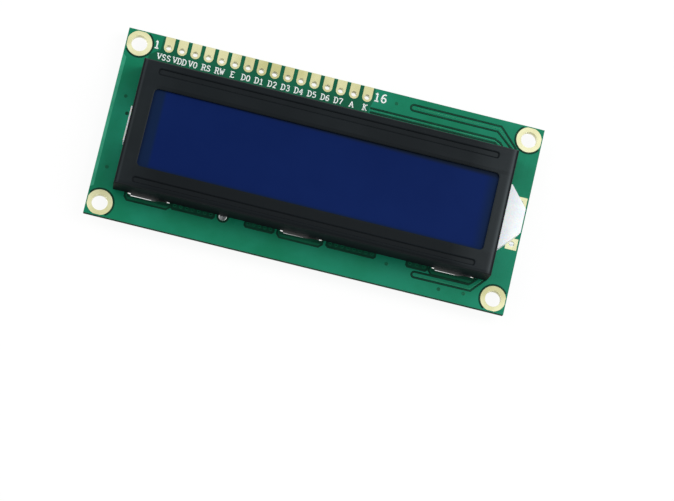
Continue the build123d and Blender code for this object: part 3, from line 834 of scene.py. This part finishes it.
def slot_patch(x, side):
    """Outline of the bare ground round a slot, with chamfered corners. The side is -1 below and 1 above."""
    outer, inner = (-13.85, -11.9) if side < 0 else (12.65, 10.7)
    return [
        (x - 4.45, outer - side * 0.6), (x - 3.9, outer), (x + 3.5, outer), (x + 4.15, outer - side * 0.6),
        (x + 4.15, inner), (x - 4.45, inner),
    ]


def slot_edge(x, side):
    """Outline of a slot, a little outside its wall, so that a patch round it leaves it open."""
    y = -12.5 if side < 0 else 11.3
    return arc(x + 3.4, y, 0.66, -90.0, 90.0, 10) + arc(x - 3.4, y, 0.66, 90.0, 270.0, 10)


pin_patch = [
    (-33.3, 17.9), (7.35, 17.9), (7.5, 16.0), (7.25, 14.9), (7.0, 14.1), (7.0, 11.2), (-35.3, 11.2), (-35.3, 13.9),
    (-33.4, 15.3),
]
via_patches = [via_patch(row) for row in via_rows]
slot_patches = [slot_patch(x, side) for x in SLOT_X for side in (-1, 1)]
front_patches = via_patches + slot_patches
pin_edges = [ring(x, 16.0, 0.6, 16) for x in PINS]
slot_edges = [slot_edge(x, side) for x in SLOT_X for side in (-1, 1)]
fill_patches("front_pin_ground", [pin_patch] + pin_edges, 0.004, FRONT, bare_mask)
# The via ground is darkened in part as painted shade.
fill_patches("front_via_ground", via_patches, 0.006, FRONT, shaded_bare_mask)
# Painted highlight: a pale strip along the left edge.
edge_highlight_strip = [(-39.98, -13.0), (-39.35, -12.6), (-39.4, 0.0), (-39.25, 12.4), (-39.98, 13.0)]
fill_patches("front_edge_highlight", [edge_highlight_strip], 0.004, FRONT, edge_highlight_green)
fill_patches("front_slot_ground", slot_patches + slot_edges, 0.006, FRONT, bare_mask)
# Painted shade: dark strips over the lower slots.
SHADE_EDGES = (-12.97, -12.9, -12.94)
shade_strips = []
for x, shade_edge in zip(SLOT_X, SHADE_EDGES):
    shade_strips.append([
        (x - 4.05, -13.25), (x + 4.05, -13.25), (x + 4.05, -12.6), (x + 1.9, -12.72), (x + 1.2, shade_edge + 0.04),
        (x - 3.3, shade_edge), (x - 3.55, -12.7), (x - 4.05, -12.62),
    ])
fill_patches("front_slot_shade", shade_strips, 0.01, FRONT + 0.012 * MM, shaded_bare_mask)
print("bare patches:", len(front_patches) + 1)

# %% [markdown]
# Narrow gaps in the plane show as dark lines: they frame those patches, ring the holes, and run beside two
# broad tracks at the right, one above the display and one below. A thin bright line on each broad track is
# the shoulder of its copper, where the mask is thinnest.

# %% Gaps and shoulders of the front
RING_GAP, HALF_TURN = 2.56, 101.0


def corner_arc(x, y):
    """A gap round a mounting ring, on its side towards the middle of the board."""
    inward = math.degrees(math.atan2(-math.copysign(1, y), -math.copysign(1, x)))
    return arc(x, y, RING_GAP, inward - HALF_TURN, inward + HALF_TURN, 36)


upper_track = [(35.6, 13.1), (31.95, 16.73), (15.1, 16.73)] + arc(15.1, 16.17, 0.56, 90.0, 270.0, 8) + [
    (15.1, 15.61), (31.45, 15.61), (34.75, 12.9)
]
lower_track = [(35.3, -12.4), (33.0, -15.1), (22.2, -15.15)] + arc(22.2, -14.62, 0.53, 270.0, 90.0, 8) + [
    (22.2, -14.09), (32.4, -14.0), (33.9, -12.5)
]
front_gaps = [upper_track, lower_track]
front_gaps += [
    [(7.1, 14.12), (31.2, 14.12), (32.4, 13.6), (33.0, 12.9)],
    [(7.2, 13.35), (31.4, 13.35), (32.4, 12.6)],
]
ring_gaps = [corner_arc(x, y) for x, y in MOUNTING_HOLES]
front_gaps += ring_gaps
draw_lines("front_gaps", front_gaps, 0.4, 0.012, FRONT, gap_green)
draw_lines("front_patch_gaps", front_patches, 0.42, 0.014, FRONT, gap_green, True)
TOOLING_HOLES = [(-14.8, -12.6), (15.0, 11.4)]
hole_gaps = [ring(x, y, 1.0, 32) for x, y in TOOLING_HOLES]
draw_lines("front_hole_gaps", hole_gaps, 0.36, 0.016, FRONT, gap_green, True)
shoulders = [
    [(35.1, 13.0), (31.7, 16.2), (15.6, 16.2)], [(35.0, -12.4), (32.8, -14.75), (22.5, -14.72)],
    [(7.4, 13.75), (31.3, 13.75), (32.6, 13.1)],
]
draw_lines("front_shoulders", shoulders, 0.16, 0.012, FRONT, track_green)
print("front gaps:", len(front_gaps) + len(front_patches))

# %% [markdown]
# A via is a plated hole under the mask: a low ring with a dimple. It is modelled once, from a circle that
# is extruded and drawn in step by step along its outline, as a pot is turned, and copied to all its places.

# %% Vias
def turned_shape(profile, segments):
    """A round shape at the origin, from radius and depth pairs in millimetres."""
    bpy.ops.object.select_all(action="DESELECT")
    radius, depth = profile[0]
    bpy.ops.mesh.primitive_circle_add(
        vertices=segments, radius=radius * MM, fill_type="NGON", location=(0, 0, -depth * MM)
    )
    piece = bpy.context.active_object
    bpy.ops.object.mode_set(mode="EDIT")
    bpy.ops.mesh.select_all(action="SELECT")
    for (wide, high), (narrow, deep) in zip(profile, profile[1:]):
        bpy.ops.mesh.extrude_region_move(TRANSFORM_OT_translate={"value": (0, 0, -(deep - high) * MM)})
        share = narrow / wide
        bpy.ops.transform.resize(value=(share, share, 1.0), center_override=(0, 0, 0))
    bpy.ops.mesh.select_all(action="SELECT")
    bpy.ops.mesh.normals_make_consistent(inside=False)
    bpy.ops.object.mode_set(mode="OBJECT")
    return piece


def copy_to(model, name, places, level, turned, material):
    """Copies of a model at places in millimetres, joined into one piece. Turned ones face the rear."""
    copies = []
    for x, y in places:
        piece = model.copy()
        piece.data = model.data.copy()
        piece.location = (x * MM, y * MM, level)
        piece.rotation_euler = (math.pi if turned else 0.0, 0.0, 0.0)
        bpy.context.scene.collection.objects.link(piece)
        copies.append(piece)
    bpy.ops.object.select_all(action="DESELECT")
    for piece in copies:
        piece.select_set(True)
    bpy.context.view_layer.objects.active = copies[0]
    bpy.ops.object.join()
    piece = bpy.context.active_object
    bpy.ops.object.transform_apply(location=True, rotation=True, scale=True)
    bpy.ops.object.shade_smooth_by_angle(angle=math.radians(40.0))
    piece.name = name
    piece.data.materials.clear()
    piece.data.materials.append(material)
    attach(piece, "root")
    return piece


VIA = [(0.36, 0.0), (0.288, -0.022), (0.1728, -0.022), (0.1296, -0.006)]
via = turned_shape(VIA, 12)
front_vias = [(x, VIA_Y) for row in via_rows for x in row]
copy_to(via, "front_vias", front_vias, FRONT, False, bare_mask)
dark_vias = [(16.7, -13.9), (-37.6, 5.15), (-37.8, -8.7), (27.2, -16.2), (31.9, -15.9), (11.75, 16.15)]
copy_to(via, "front_lug_via", [(-36.6, 2.0)], FRONT, False, gap_green)
copy_to(via, "front_dark_vias", dark_vias, FRONT, False, bare_mask)
print("front vias:", len(front_vias) + len(dark_vias) + 1)

# %% [markdown]
# Behind, the ground round the two chips and up to the rows of vias is bare of copper. It is drawn as a patch
# of darker mask, with one island of copper left out of it.

# %% Bare ground and gaps of the rear
chip_1 = (-12.75, -0.25)
chip_2 = (13.35, 0.6)
bare_ground = [
    (-24.7, -13.3), (-17.0, -13.3), (-16.6, -11.1), (-14.0, -8.6), (-11.9, -8.5), (-9.7, -9.7), (-10.7, -11.2),
    (-10.7, -13.4), (-5.0, -13.4), (-4.8, -10.0), (-4.2, -8.7), (4.0, -8.7), (4.6, -10.0), (5.0, -13.3),
    (14.2, -13.3), (14.0, -12.4), (12.2, -10.0), (18.9, -9.7), (20.4, -11.2), (20.2, -13.2), (24.1, -13.2),
    (24.1, 7.7), (14.6, 7.7), (14.6, 12.9), (-3.2, 12.9), (-4.0, 13.4), (-33.2, 13.4), (-33.2, 12.6), (-25.2, 12.6),
    (-24.9, 3.2), (-27.6, 0.4), (-27.6, -0.6), (-25.0, -2.2), (-25.0, -7.8),
]
copper_island = [(18.9, 1.4), (20.0, 0.9), (20.0, 6.9), (18.6, 6.9), (18.3, 4.9)]
outlines = [bare_ground, slot_edge(SLOT_X[1], 1), copper_island]
fill_patches("rear_bare_ground", outlines, 0.006, REAR, bare_mask)
rear_gaps = [
    [(34.2, -17.05), (-34.4, -17.05)],
    [(23.6, -16.05), (-32.9, -16.05), (-36.3, -12.6), (-36.3, -1.4), (-35.0, 0.2), (-35.0, 4.2), (-33.2, 6.4)],
    [(22.9, -15.35), (-32.7, -15.35), (-35.6, -12.4), (-35.6, -8.4), (-34.2, -7.9)],
    [(22.2, -14.6), (-32.4, -14.6), (-34.8, -12.2), (-34.8, -9.2), (-34.0, -8.5)],
    [(23.6, -16.05), (25.0, -14.7), (25.0, -8.6)],
    [(22.2, -14.6), (23.6, -14.0), (24.0, -13.2), (24.0, -1.6)],
    [(-36.9, 1.3), (-36.9, 4.6), (-34.2, 7.9), (-34.2, 12.0), (-33.0, 13.3), (-30.4, 13.3)],
    [(-36.0, 3.6), (-33.6, 6.6), (-33.4, 8.0)],
    [(-35.9, 7.8), (-36.3, 8.6), (-35.5, 9.2), (-35.6, 10.2), (-34.8, 10.4)],
    [(36.7, 4.4), (36.7, 10.4), (34.2, 13.2), (8.2, 13.2)],
    [(37.7, 5.3), (37.7, 10.9), (34.7, 14.2), (23.6, 14.2)],
    [(16.6, 14.2), (4.2, 14.2)],
    [(16.6, 15.0), (14.9, 15.0), (14.4, 15.7), (14.9, 16.5), (16.6, 16.5)],
    [(32.6, 0.6), (34.0, 2.0), (34.0, 4.6), (33.1, 5.6)],
    [(18.5, -0.6), (20.4, 1.3), (20.4, 6.9), (19.7, 7.5), (17.4, 7.5), (16.6, 6.6)],
    [(24.6, 12.6), (24.6, 8.2), (25.1, 7.4)],
    [(-24.9, 13.0), (-24.9, 7.9), (-25.3, 7.4), (-33.2, 7.4)],
    [(20.2, -13.4), (20.4, -11.3), (18.9, -9.7), (6.4, -9.9)],
]
draw_lines("rear_gaps", rear_gaps, 0.4, 0.012, REAR, gap_green)
slot_boxes = []
for x in (-29.0, 0.0, 29.0):
    slot_boxes.append([(x - 4.25, -13.45), (x + 4.35, -13.45), (x + 4.35, -8.75), (x - 4.05, -8.75)])
    slot_boxes.append([(x - 4.25, 12.25), (x + 4.35, 12.25), (x + 4.35, 7.65), (x - 4.05, 7.65)])
draw_lines("rear_slot_gaps", slot_boxes, 0.26, 0.014, REAR, gap_green, True)
draw_lines("rear_hole_gaps", hole_gaps, 0.4, 0.016, REAR, gap_green, True)
draw_lines("rear_ring_gaps", ring_gaps, 0.3, 0.012, REAR, gap_green)
print("rear gaps:", len(rear_gaps))

# %% [markdown]
# The tracks of the rear leave the two chips on all sides. Each goes straight from its via or pin, then at
# half a right angle to a point on the rim of its chip. Buses of parallel tracks fill the ground between.

# %% Tracks of the rear
def rim(chip, radius, turn):
    """A point beside a chip's round rim, at a turn in degrees from +X towards +Y."""
    return (chip[0] + radius * math.cos(math.radians(turn)), chip[1] + radius * math.sin(math.radians(turn)))


def run_to(start, end):
    """A track that leaves start along Y and reaches end at half a right angle."""
    away = abs(end[0] - start[0])
    corner = end[1] + away if start[1] > end[1] else end[1] - away
    return [start, (start[0], corner), end]


VIA_END, PIN_END = -12.3, 14.6
tracks = []
for n, x in enumerate(via_rows[0]):
    short = [(x, VIA_END), (x, -9.4)]
    tracks.append(short if n < 3 else run_to((x, VIA_END), rim(chip_1, 7.3, -160 + 14 * (n - 2))))
for n, x in enumerate(via_rows[1]):
    tracks.append(run_to((x, VIA_END), rim(chip_1, 7.2, -82 + 9 * n)))
for n, x in enumerate(via_rows[2]):
    start_y = -3.6 + 0.55 * n
    turn_x = x - (start_y + 9.9)
    tracks.append([(x, VIA_END), (x, -9.9), (turn_x, start_y), (-5.0, start_y)])
for n, x in enumerate(PINS[6:13]):
    tracks.append(run_to((x, PIN_END), rim(chip_1, 7.2, 128 - 10 * n)))
for x, (turn_x, y) in zip(PINS[2:6], ((-25.5, 12.2), (-24.24, 12.2), (-21.64, 12.4), (-20.8, 12.4))):
    tracks.append([(x, PIN_END), (x, y + abs(x - turn_x)), (turn_x, y)])
buses = [
    ([(-15.6, 6.9), (-20.2, 6.9), (-23.4, 10.1), (-23.4, 12.2)], 6, 0.42),
    ([(-17.4, 7.4), (-19.9, 7.4), (-22.9, 10.4), (-22.9, 12.4)], 6, -0.42),
    ([(-5.2, 1.3), (3.2, 1.3), (9.2, -4.7)], 8, 0.36),
    ([(22.1, -12.3), (22.1, -10.9), (19.4, -8.2), (19.4, -4.4), (18.3, -3.3)], 3, 0.55),
    ([(18.9, -3.0), (21.4, -0.5), (21.4, 1.3), (24.0, 3.9), (24.0, 6.8)], 7, -0.34),
    ([(19.0, -4.4), (20.2, -5.6), (20.2, -7.6)], 5, 0.3),
    ([(-26.9, 0.0), (-24.4, -1.2), (-20.4, -1.2)], 3, 0.6),
    ([(3.2, 5.2), (7.6, 5.2), (9.4, 4.9)], 3, 0.5),
]
for line, count, pitch in buses:
    tracks += bundle(line, count, pitch)
draw_lines("rear_tracks", tracks, 0.15, 0.016, REAR - 0.004 * MM, fine_green)
rear_vias = front_vias + [
    (-19.6, -6.3), (-18.6, -5.4), (-19.9, -5.0), (-22.0, 0.1), (-21.0, 0.7), (-20.1, 1.2), (-20.8, -0.5),
    (-20.2, 5.4), (-18.9, 5.9), (-17.6, 6.3), (-5.0, -8.2), (-5.8, -7.5), (-4.7, -7.1), (-4.5, -6.0), (-5.2, -5.3),
    (-4.5, -4.6), (1.7, -4.4), (2.2, -3.8), (2.7, -4.6), (3.3, -4.0), (5.0, -0.5), (5.8, -1.0), (6.5, -1.5),
    (7.0, -2.1), (7.6, -2.7), (2.9, 1.3), (2.1, 2.9), (3.6, 3.3), (4.6, 4.0), (5.5, 3.6), (6.4, 4.1), (7.3, 3.8),
    (4.5, 7.9), (17.7, 6.8), (22.4, -8.4), (23.5, -7.9), (22.6, -7.1), (23.5, -6.4), (22.4, -5.8), (23.4, -5.1),
    (22.6, -4.3), (23.5, -3.6), (22.3, -2.9), (22.6, 3.4), (21.9, 4.7), (21.8, 7.2), (22.9, 5.6), (-15.0, -7.9),
    (-13.4, -8.0), (-11.2, -7.9),
]
copy_to(via, "rear_vias", rear_vias, REAR, True, fine_green)
bpy.data.objects.remove(via)
print("tracks:", len(tracks), "rear vias:", len(rear_vias))

# %% [markdown]
# ## White print
# The printed marks are outlines round the small parts, a ring round each chip, and plain lettering: the
# name of each pin's signal on the front, part numbers on the rear. They are a layer of white ink, so they
# stand a hair above the mask. Text is turned over for the rear, so that it reads right from there.

# %% Outlines on the rear
def broken_box(x0, x1, y0, y1, gap):
    """A box whose two long sides leave a gap in the middle."""
    middle = (x0 + x1) / 2
    left = [(middle - gap, y0), (x0, y0), (x0, y1), (middle - gap, y1)]
    return [left, [(middle + gap, y0), (x1, y0), (x1, y1), (middle + gap, y1)]]


marks = broken_box(-33.55, -28.5, -7.65, 6.35, 0.75)
for n in range(5):
    y = -5.35 + 2.3 * n
    marks += [[(-33.55, y), (-31.75, y)], [(-30.3, y), (-28.5, y)]]
marks += broken_box(-24.85, -19.95, -7.35, -2.6, 0.6)
marks += [[(-24.85, -5.1), (-23.0, -5.1)], [(-21.8, -5.1), (-19.95, -5.1)]]
marks += broken_box(17.0, 23.1, 11.1, 13.9, 0.75) + broken_box(17.0, 23.1, 14.4, 17.4, 0.75)
boxes = [
    [(26.6, -7.55), (32.65, -7.55), (32.65, -4.6), (26.6, -4.6)],
    [(26.6, -4.0), (32.7, -4.0), (32.7, -1.25), (26.6, -1.25)],
    [(28.05, -0.8), (30.75, -0.8), (30.75, 4.3), (28.05, 4.3)],
]
marks += [
    [(26.8, -7.4), (26.8, -4.75)], [(26.8, -3.85), (26.8, -1.4)],
    [(28.3, -0.2), (30.5, 2.2)], [(28.3, 1.2), (30.2, 3.9)],
]
draw_lines("rear_marks", marks, 0.26, 0.014, REAR, white_print)
draw_lines("rear_boxes", boxes, 0.26, 0.014, REAR, white_print, True)
rings = [ring(*chip_1, 6.62, 72), ring(*chip_2, 5.36, 64), ring(31.85, 5.5, 1.25, 32)]
draw_lines("rear_rings", rings, 0.3, 0.014, REAR, white_print, True)
print("marks:", len(marks) + len(boxes) + len(rings))

# %% [markdown]
# The letters are drawn the way a plotter draws them: each is a few strokes of one width. Their shapes are
# given on a grid that is one unit high. The front names have small feet at the ends of their stems, which
# are kept apart from the strokes, because the numbers of the rear have none.

# %% Strokes of the letters
STROKES = {
    "V": [[(0.02, 1), (0.35, 0), (0.68, 1)]],
    "S": [[(0.62, 0.82), (0.52, 0.95), (0.35, 1), (0.15, 0.94), (0.06, 0.78), (0.14, 0.62), (0.35, 0.52),
           (0.55, 0.42), (0.65, 0.25), (0.56, 0.07), (0.35, 0), (0.16, 0.05), (0.05, 0.2)]],
    "D": [[(0.1, 0), (0.1, 1), (0.35, 1), (0.55, 0.9), (0.66, 0.7), (0.68, 0.5), (0.66, 0.3), (0.55, 0.1),
           (0.35, 0), (0.1, 0)]],
    "R": [[(0.1, 0), (0.1, 1), (0.42, 1), (0.58, 0.92), (0.62, 0.76), (0.57, 0.6), (0.42, 0.52), (0.1, 0.52)],
          [(0.38, 0.52), (0.68, 0)]],
    "W": [[(0, 1), (0.2, 0), (0.38, 0.8), (0.56, 0), (0.76, 1)]],
    "E": [[(0.64, 0.17), (0.64, 0), (0.1, 0), (0.1, 1), (0.62, 1), (0.62, 0.85)], [(0.1, 0.52), (0.48, 0.52)]],
    "A": [[(0, 0), (0.35, 1), (0.7, 0)], [(0.12, 0.34), (0.58, 0.34)]],
    "K": [[(0.1, 0), (0.1, 1)], [(0.64, 1), (0.1, 0.42)], [(0.26, 0.6), (0.66, 0)]],
    "U": [[(0.08, 1), (0.08, 0.28), (0.16, 0.08), (0.35, 0), (0.54, 0.08), (0.62, 0.28), (0.62, 1)]],
    "C": [[(0.64, 0.8), (0.52, 0.95), (0.36, 1), (0.17, 0.9), (0.07, 0.68), (0.06, 0.4), (0.14, 0.12), (0.34, 0),
           (0.52, 0.05), (0.65, 0.2)]],
    "J": [[(0.5, 1), (0.5, 0.22), (0.42, 0.05), (0.26, 0), (0.12, 0.08), (0.08, 0.24)]],
    "0": [[(0.35, 0), (0.17, 0.07), (0.08, 0.26), (0.05, 0.5), (0.08, 0.74), (0.17, 0.93), (0.35, 1), (0.53, 0.93),
           (0.62, 0.74), (0.65, 0.5), (0.62, 0.26), (0.53, 0.07), (0.35, 0)]],
    "1": [[(0.15, 0.82), (0.36, 1), (0.36, 0)]],
    "2": [[(0.08, 0.78), (0.16, 0.94), (0.35, 1), (0.55, 0.93), (0.62, 0.75), (0.55, 0.55), (0.08, 0), (0.66, 0)]],
    "3": [[(0.08, 0.85), (0.22, 0.98), (0.4, 1), (0.57, 0.9), (0.58, 0.68), (0.45, 0.54), (0.26, 0.52)],
          [(0.45, 0.54), (0.6, 0.42), (0.65, 0.22), (0.5, 0.03), (0.3, 0), (0.08, 0.13)]],
    "4": [[(0.5, 0), (0.5, 1), (0.04, 0.32), (0.7, 0.32)]],
    "5": [[(0.6, 1), (0.16, 1), (0.1, 0.55), (0.3, 0.64), (0.5, 0.6), (0.64, 0.42), (0.62, 0.18), (0.46, 0.02),
           (0.26, 0), (0.07, 0.12)]],
    "6": [[(0.58, 0.92), (0.42, 1), (0.22, 0.9), (0.09, 0.65), (0.06, 0.35), (0.14, 0.1), (0.34, 0), (0.54, 0.08),
           (0.63, 0.3), (0.55, 0.5), (0.36, 0.58), (0.16, 0.5), (0.07, 0.33)]],
    "7": [[(0.06, 0.84), (0.06, 1), (0.66, 1), (0.3, 0)]],
    "8": [[(0.35, 0.54), (0.15, 0.64), (0.1, 0.8), (0.2, 0.95), (0.35, 1), (0.5, 0.95), (0.6, 0.8), (0.55, 0.64),
           (0.35, 0.54), (0.12, 0.42), (0.05, 0.24), (0.16, 0.05), (0.35, 0), (0.54, 0.05), (0.65, 0.24),
           (0.58, 0.42), (0.35, 0.54)]],
}
STROKES["9"] = [[(0.7 - x, 1 - y) for x, y in STROKES["6"][0]]]
FEET = {
    "V": [[(-0.14, 1), (0.22, 1)], [(0.5, 1), (0.84, 1)]],
    "D": [[(-0.1, 0), (0.1, 0)], [(-0.1, 1), (0.1, 1)]],
    "R": [[(-0.1, 0), (0.3, 0)], [(-0.1, 1), (0.1, 1)], [(0.54, 0), (0.86, 0)]],
    "W": [[(-0.14, 1), (0.18, 1)], [(0.6, 1), (0.9, 1)]],
    "E": [[(-0.1, 0), (0.1, 0)], [(-0.1, 1), (0.1, 1)]],
    "A": [[(-0.14, 0), (0.18, 0)], [(0.52, 0), (0.84, 0)]],
    "K": [[(-0.1, 0), (0.3, 0)], [(-0.1, 1), (0.3, 1)], [(0.48, 1), (0.8, 1)], [(0.52, 0), (0.84, 0)]],
    "1": [[(0.1, 0), (0.62, 0)]],
    "4": [[(0.34, 0), (0.66, 0)]],
}
print("letters:", len(STROKES))

# %% [markdown]
# A word is written stroke by stroke round the middle of its place. Strokes are cut at sharp corners, so that
# every part keeps its full width.

# %% Lettering
def split_at_corners(stroke):
    """Parts of a stroke between its sharp corners, because a bent line would thin out there."""
    parts = [[stroke[0]]]
    for before, here, after in zip(stroke, stroke[1:], stroke[2:]):
        parts[-1].append(here)
        into, out = Vector(here) - Vector(before), Vector(after) - Vector(here)
        if into.normalized().dot(out.normalized()) < 0.35:
            parts.append([here])
    parts[-1].append(stroke[-1])
    return parts


def write(text, x, y, height, wide, rear=False, feet=False):
    """Strokes of a word in the middle of a place, in millimetres. On the rear it reads from behind."""
    step = 0.9 * wide * height
    start = -step * len(text) / 2 + 0.1 * wide * height
    turn = -1.0 if rear else 1.0
    lines = []
    for n, sign in enumerate(text):
        for stroke in STROKES[sign] + (FEET.get(sign, []) if feet else []):
            for line in split_at_corners(stroke):
                lines.append([
                    (x + turn * (start + n * step + u * wide * height), y + (v - 0.5) * height) for u, v in line
                ])
    return lines


signals = ["VSS", "VDD", "V0", "RS", "RW", "E", "D0", "D1", "D2", "D3", "D4", "D5", "D6", "D7", "A", "K"]
names = []
for text, x in zip(signals, PINS):
    names += write(text, x - (0.45 if text == "VSS" else 0.0), 13.98, 1.06, 0.94, feet=True)
draw_lines("front_names", names, 0.2, 0.012, FRONT + 0.004 * MM, white_print)
ends = write("1", -34.25, 16.1, 1.4, 0.95, feet=True) + write("16", 8.6, 16.45, 1.55, 0.95, feet=True)
draw_lines("front_pin_numbers", ends, 0.3, 0.012, FRONT + 0.004 * MM, white_print)
numbers = [
    ("R1", -26.6, -6.7), ("R2", -26.7, -4.0), ("R3", -26.8, -1.7), ("R4", -26.8, 0.5), ("R5", -26.8, 2.8),
    ("R7", -26.8, 5.2), ("R6", -21.2, -1.4), ("C3", -21.4, -8.65), ("U1", -7.8, -7.1), ("U2", 17.3, -5.85),
    ("U3", 24.0, -0.15), ("C2", 34.1, -6.2), ("C1", 34.2, -2.6), ("R8", 21.6, 10.15), ("R9", 24.8, 15.7),
]
labels = []
for text, x, y in numbers:
    labels += write(text, x, y, 1.5, 0.9, rear=True)
draw_lines("rear_part_numbers", labels, 0.3, 0.014, REAR - 0.004 * MM, white_print)
labels = write("1", -34.0, 16.1, 1.4, 0.9, rear=True) + write("16", 8.6, 16.6, 1.4, 0.9, rear=True)
for text, x, y in (("J3", 24.3, 7.1), ("J2", 28.3, 7.25), ("J1", 33.6, 7.1), ("K", 38.5, -6.8), ("A", 38.5, 6.1)):
    labels += write(text, x, y, 1.15, 0.9, rear=True)
draw_lines("rear_small_numbers", labels, 0.24, 0.014, REAR - 0.004 * MM, white_print)
print("names:", len(signals), "part numbers:", len(numbers))

# %% [markdown]
# ## Epoxy and solder
# A chip on the rear sits under a drop of black epoxy that has run to a round and set: high shoulders and
# a flat crown. It is turned as a via is, along a longer outline. Solder is made in the same way, but it is
# wetter: it climbs to the lead with a hollow flank.

# %% Epoxy drops
for node, name in (("controller_blob", "controller_drop"), ("driver_blob", "driver_drop")):
    low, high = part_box(node)
    radius, depth = (high.x - low.x) / 2 / MM, (high.z - low.z) / MM
    turns = [math.radians(89.0 * n / 20) for n in range(21)]
    drop = turned_shape([(radius * math.cos(t), depth * math.sin(t) ** 1.25) for t in turns], 64)
    middle = ((low.x + high.x) / 2 / MM, (low.y + high.y) / 2 / MM)
    piece = copy_to(drop, name, [middle], high.z, False, black_epoxy)
    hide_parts(node)
    bpy.data.objects.remove(drop)
    print(name, "radius", round(radius, 2), "depth", round(depth, 2))

# %% [markdown]
# Solder stands on the rear where the lamp's leads come through, and where one jumper is closed. On the front
# small plugs of it close the tooling holes and the holes of the lamp pads.

# %% Solder joints, the closed jumper and plugs
def solder_drops(name, profile, places, level, segments=28):
    """Drops of solder at their places, from radius and depth pairs in millimetres."""
    model = turned_shape(profile, segments)
    piece = copy_to(model, name, places, level, False, solder)
    bpy.data.objects.remove(model)
    return piece


low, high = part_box("led_solder")
lead_x = (low.x + high.x) / 2 / MM
lamp_joints = solder_drops(
    "lamp_joints",
    [(0.98, 0.0), (0.9, 0.12), (0.78, 0.3), (0.62, 0.48), (0.46, 0.64), (0.34, 0.76), (0.24, 0.84)],
    [(lead_x, low.y / MM + 1.0), (lead_x, high.y / MM - 1.0)], REAR,
)
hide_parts("led_solder")
low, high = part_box("jumper_solder")
bridges = solder_drops(
    "jumper_bridge", [(0.98, 0.0), (0.94, 0.1), (0.84, 0.2), (0.66, 0.28), (0.42, 0.33), (0.16, 0.35)],
    [((low.x + high.x) / 2 / MM, (low.y + high.y) / 2 / MM)], REAR,
)
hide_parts("jumper_solder")
solder_drops(
    "tooling_plugs", [(0.66, 0.0), (0.6, 0.06), (0.48, 0.12), (0.32, 0.17), (0.12, 0.2)],
    TOOLING_HOLES, FRONT - 0.5 * MM, 20,
)
solder_drops(
    "lamp_pad_plugs", [(0.44, 0.0), (0.4, 0.08), (0.3, 0.16), (0.14, 0.2)],
    [(38.6, -4.6), (38.6, 3.4)], FRONT - 0.12 * MM, 16,
)
print("joints done")

# %% Sizes and end
print("CAD box", [tuple(round(c, 5) for c in v) for v in cad_box])
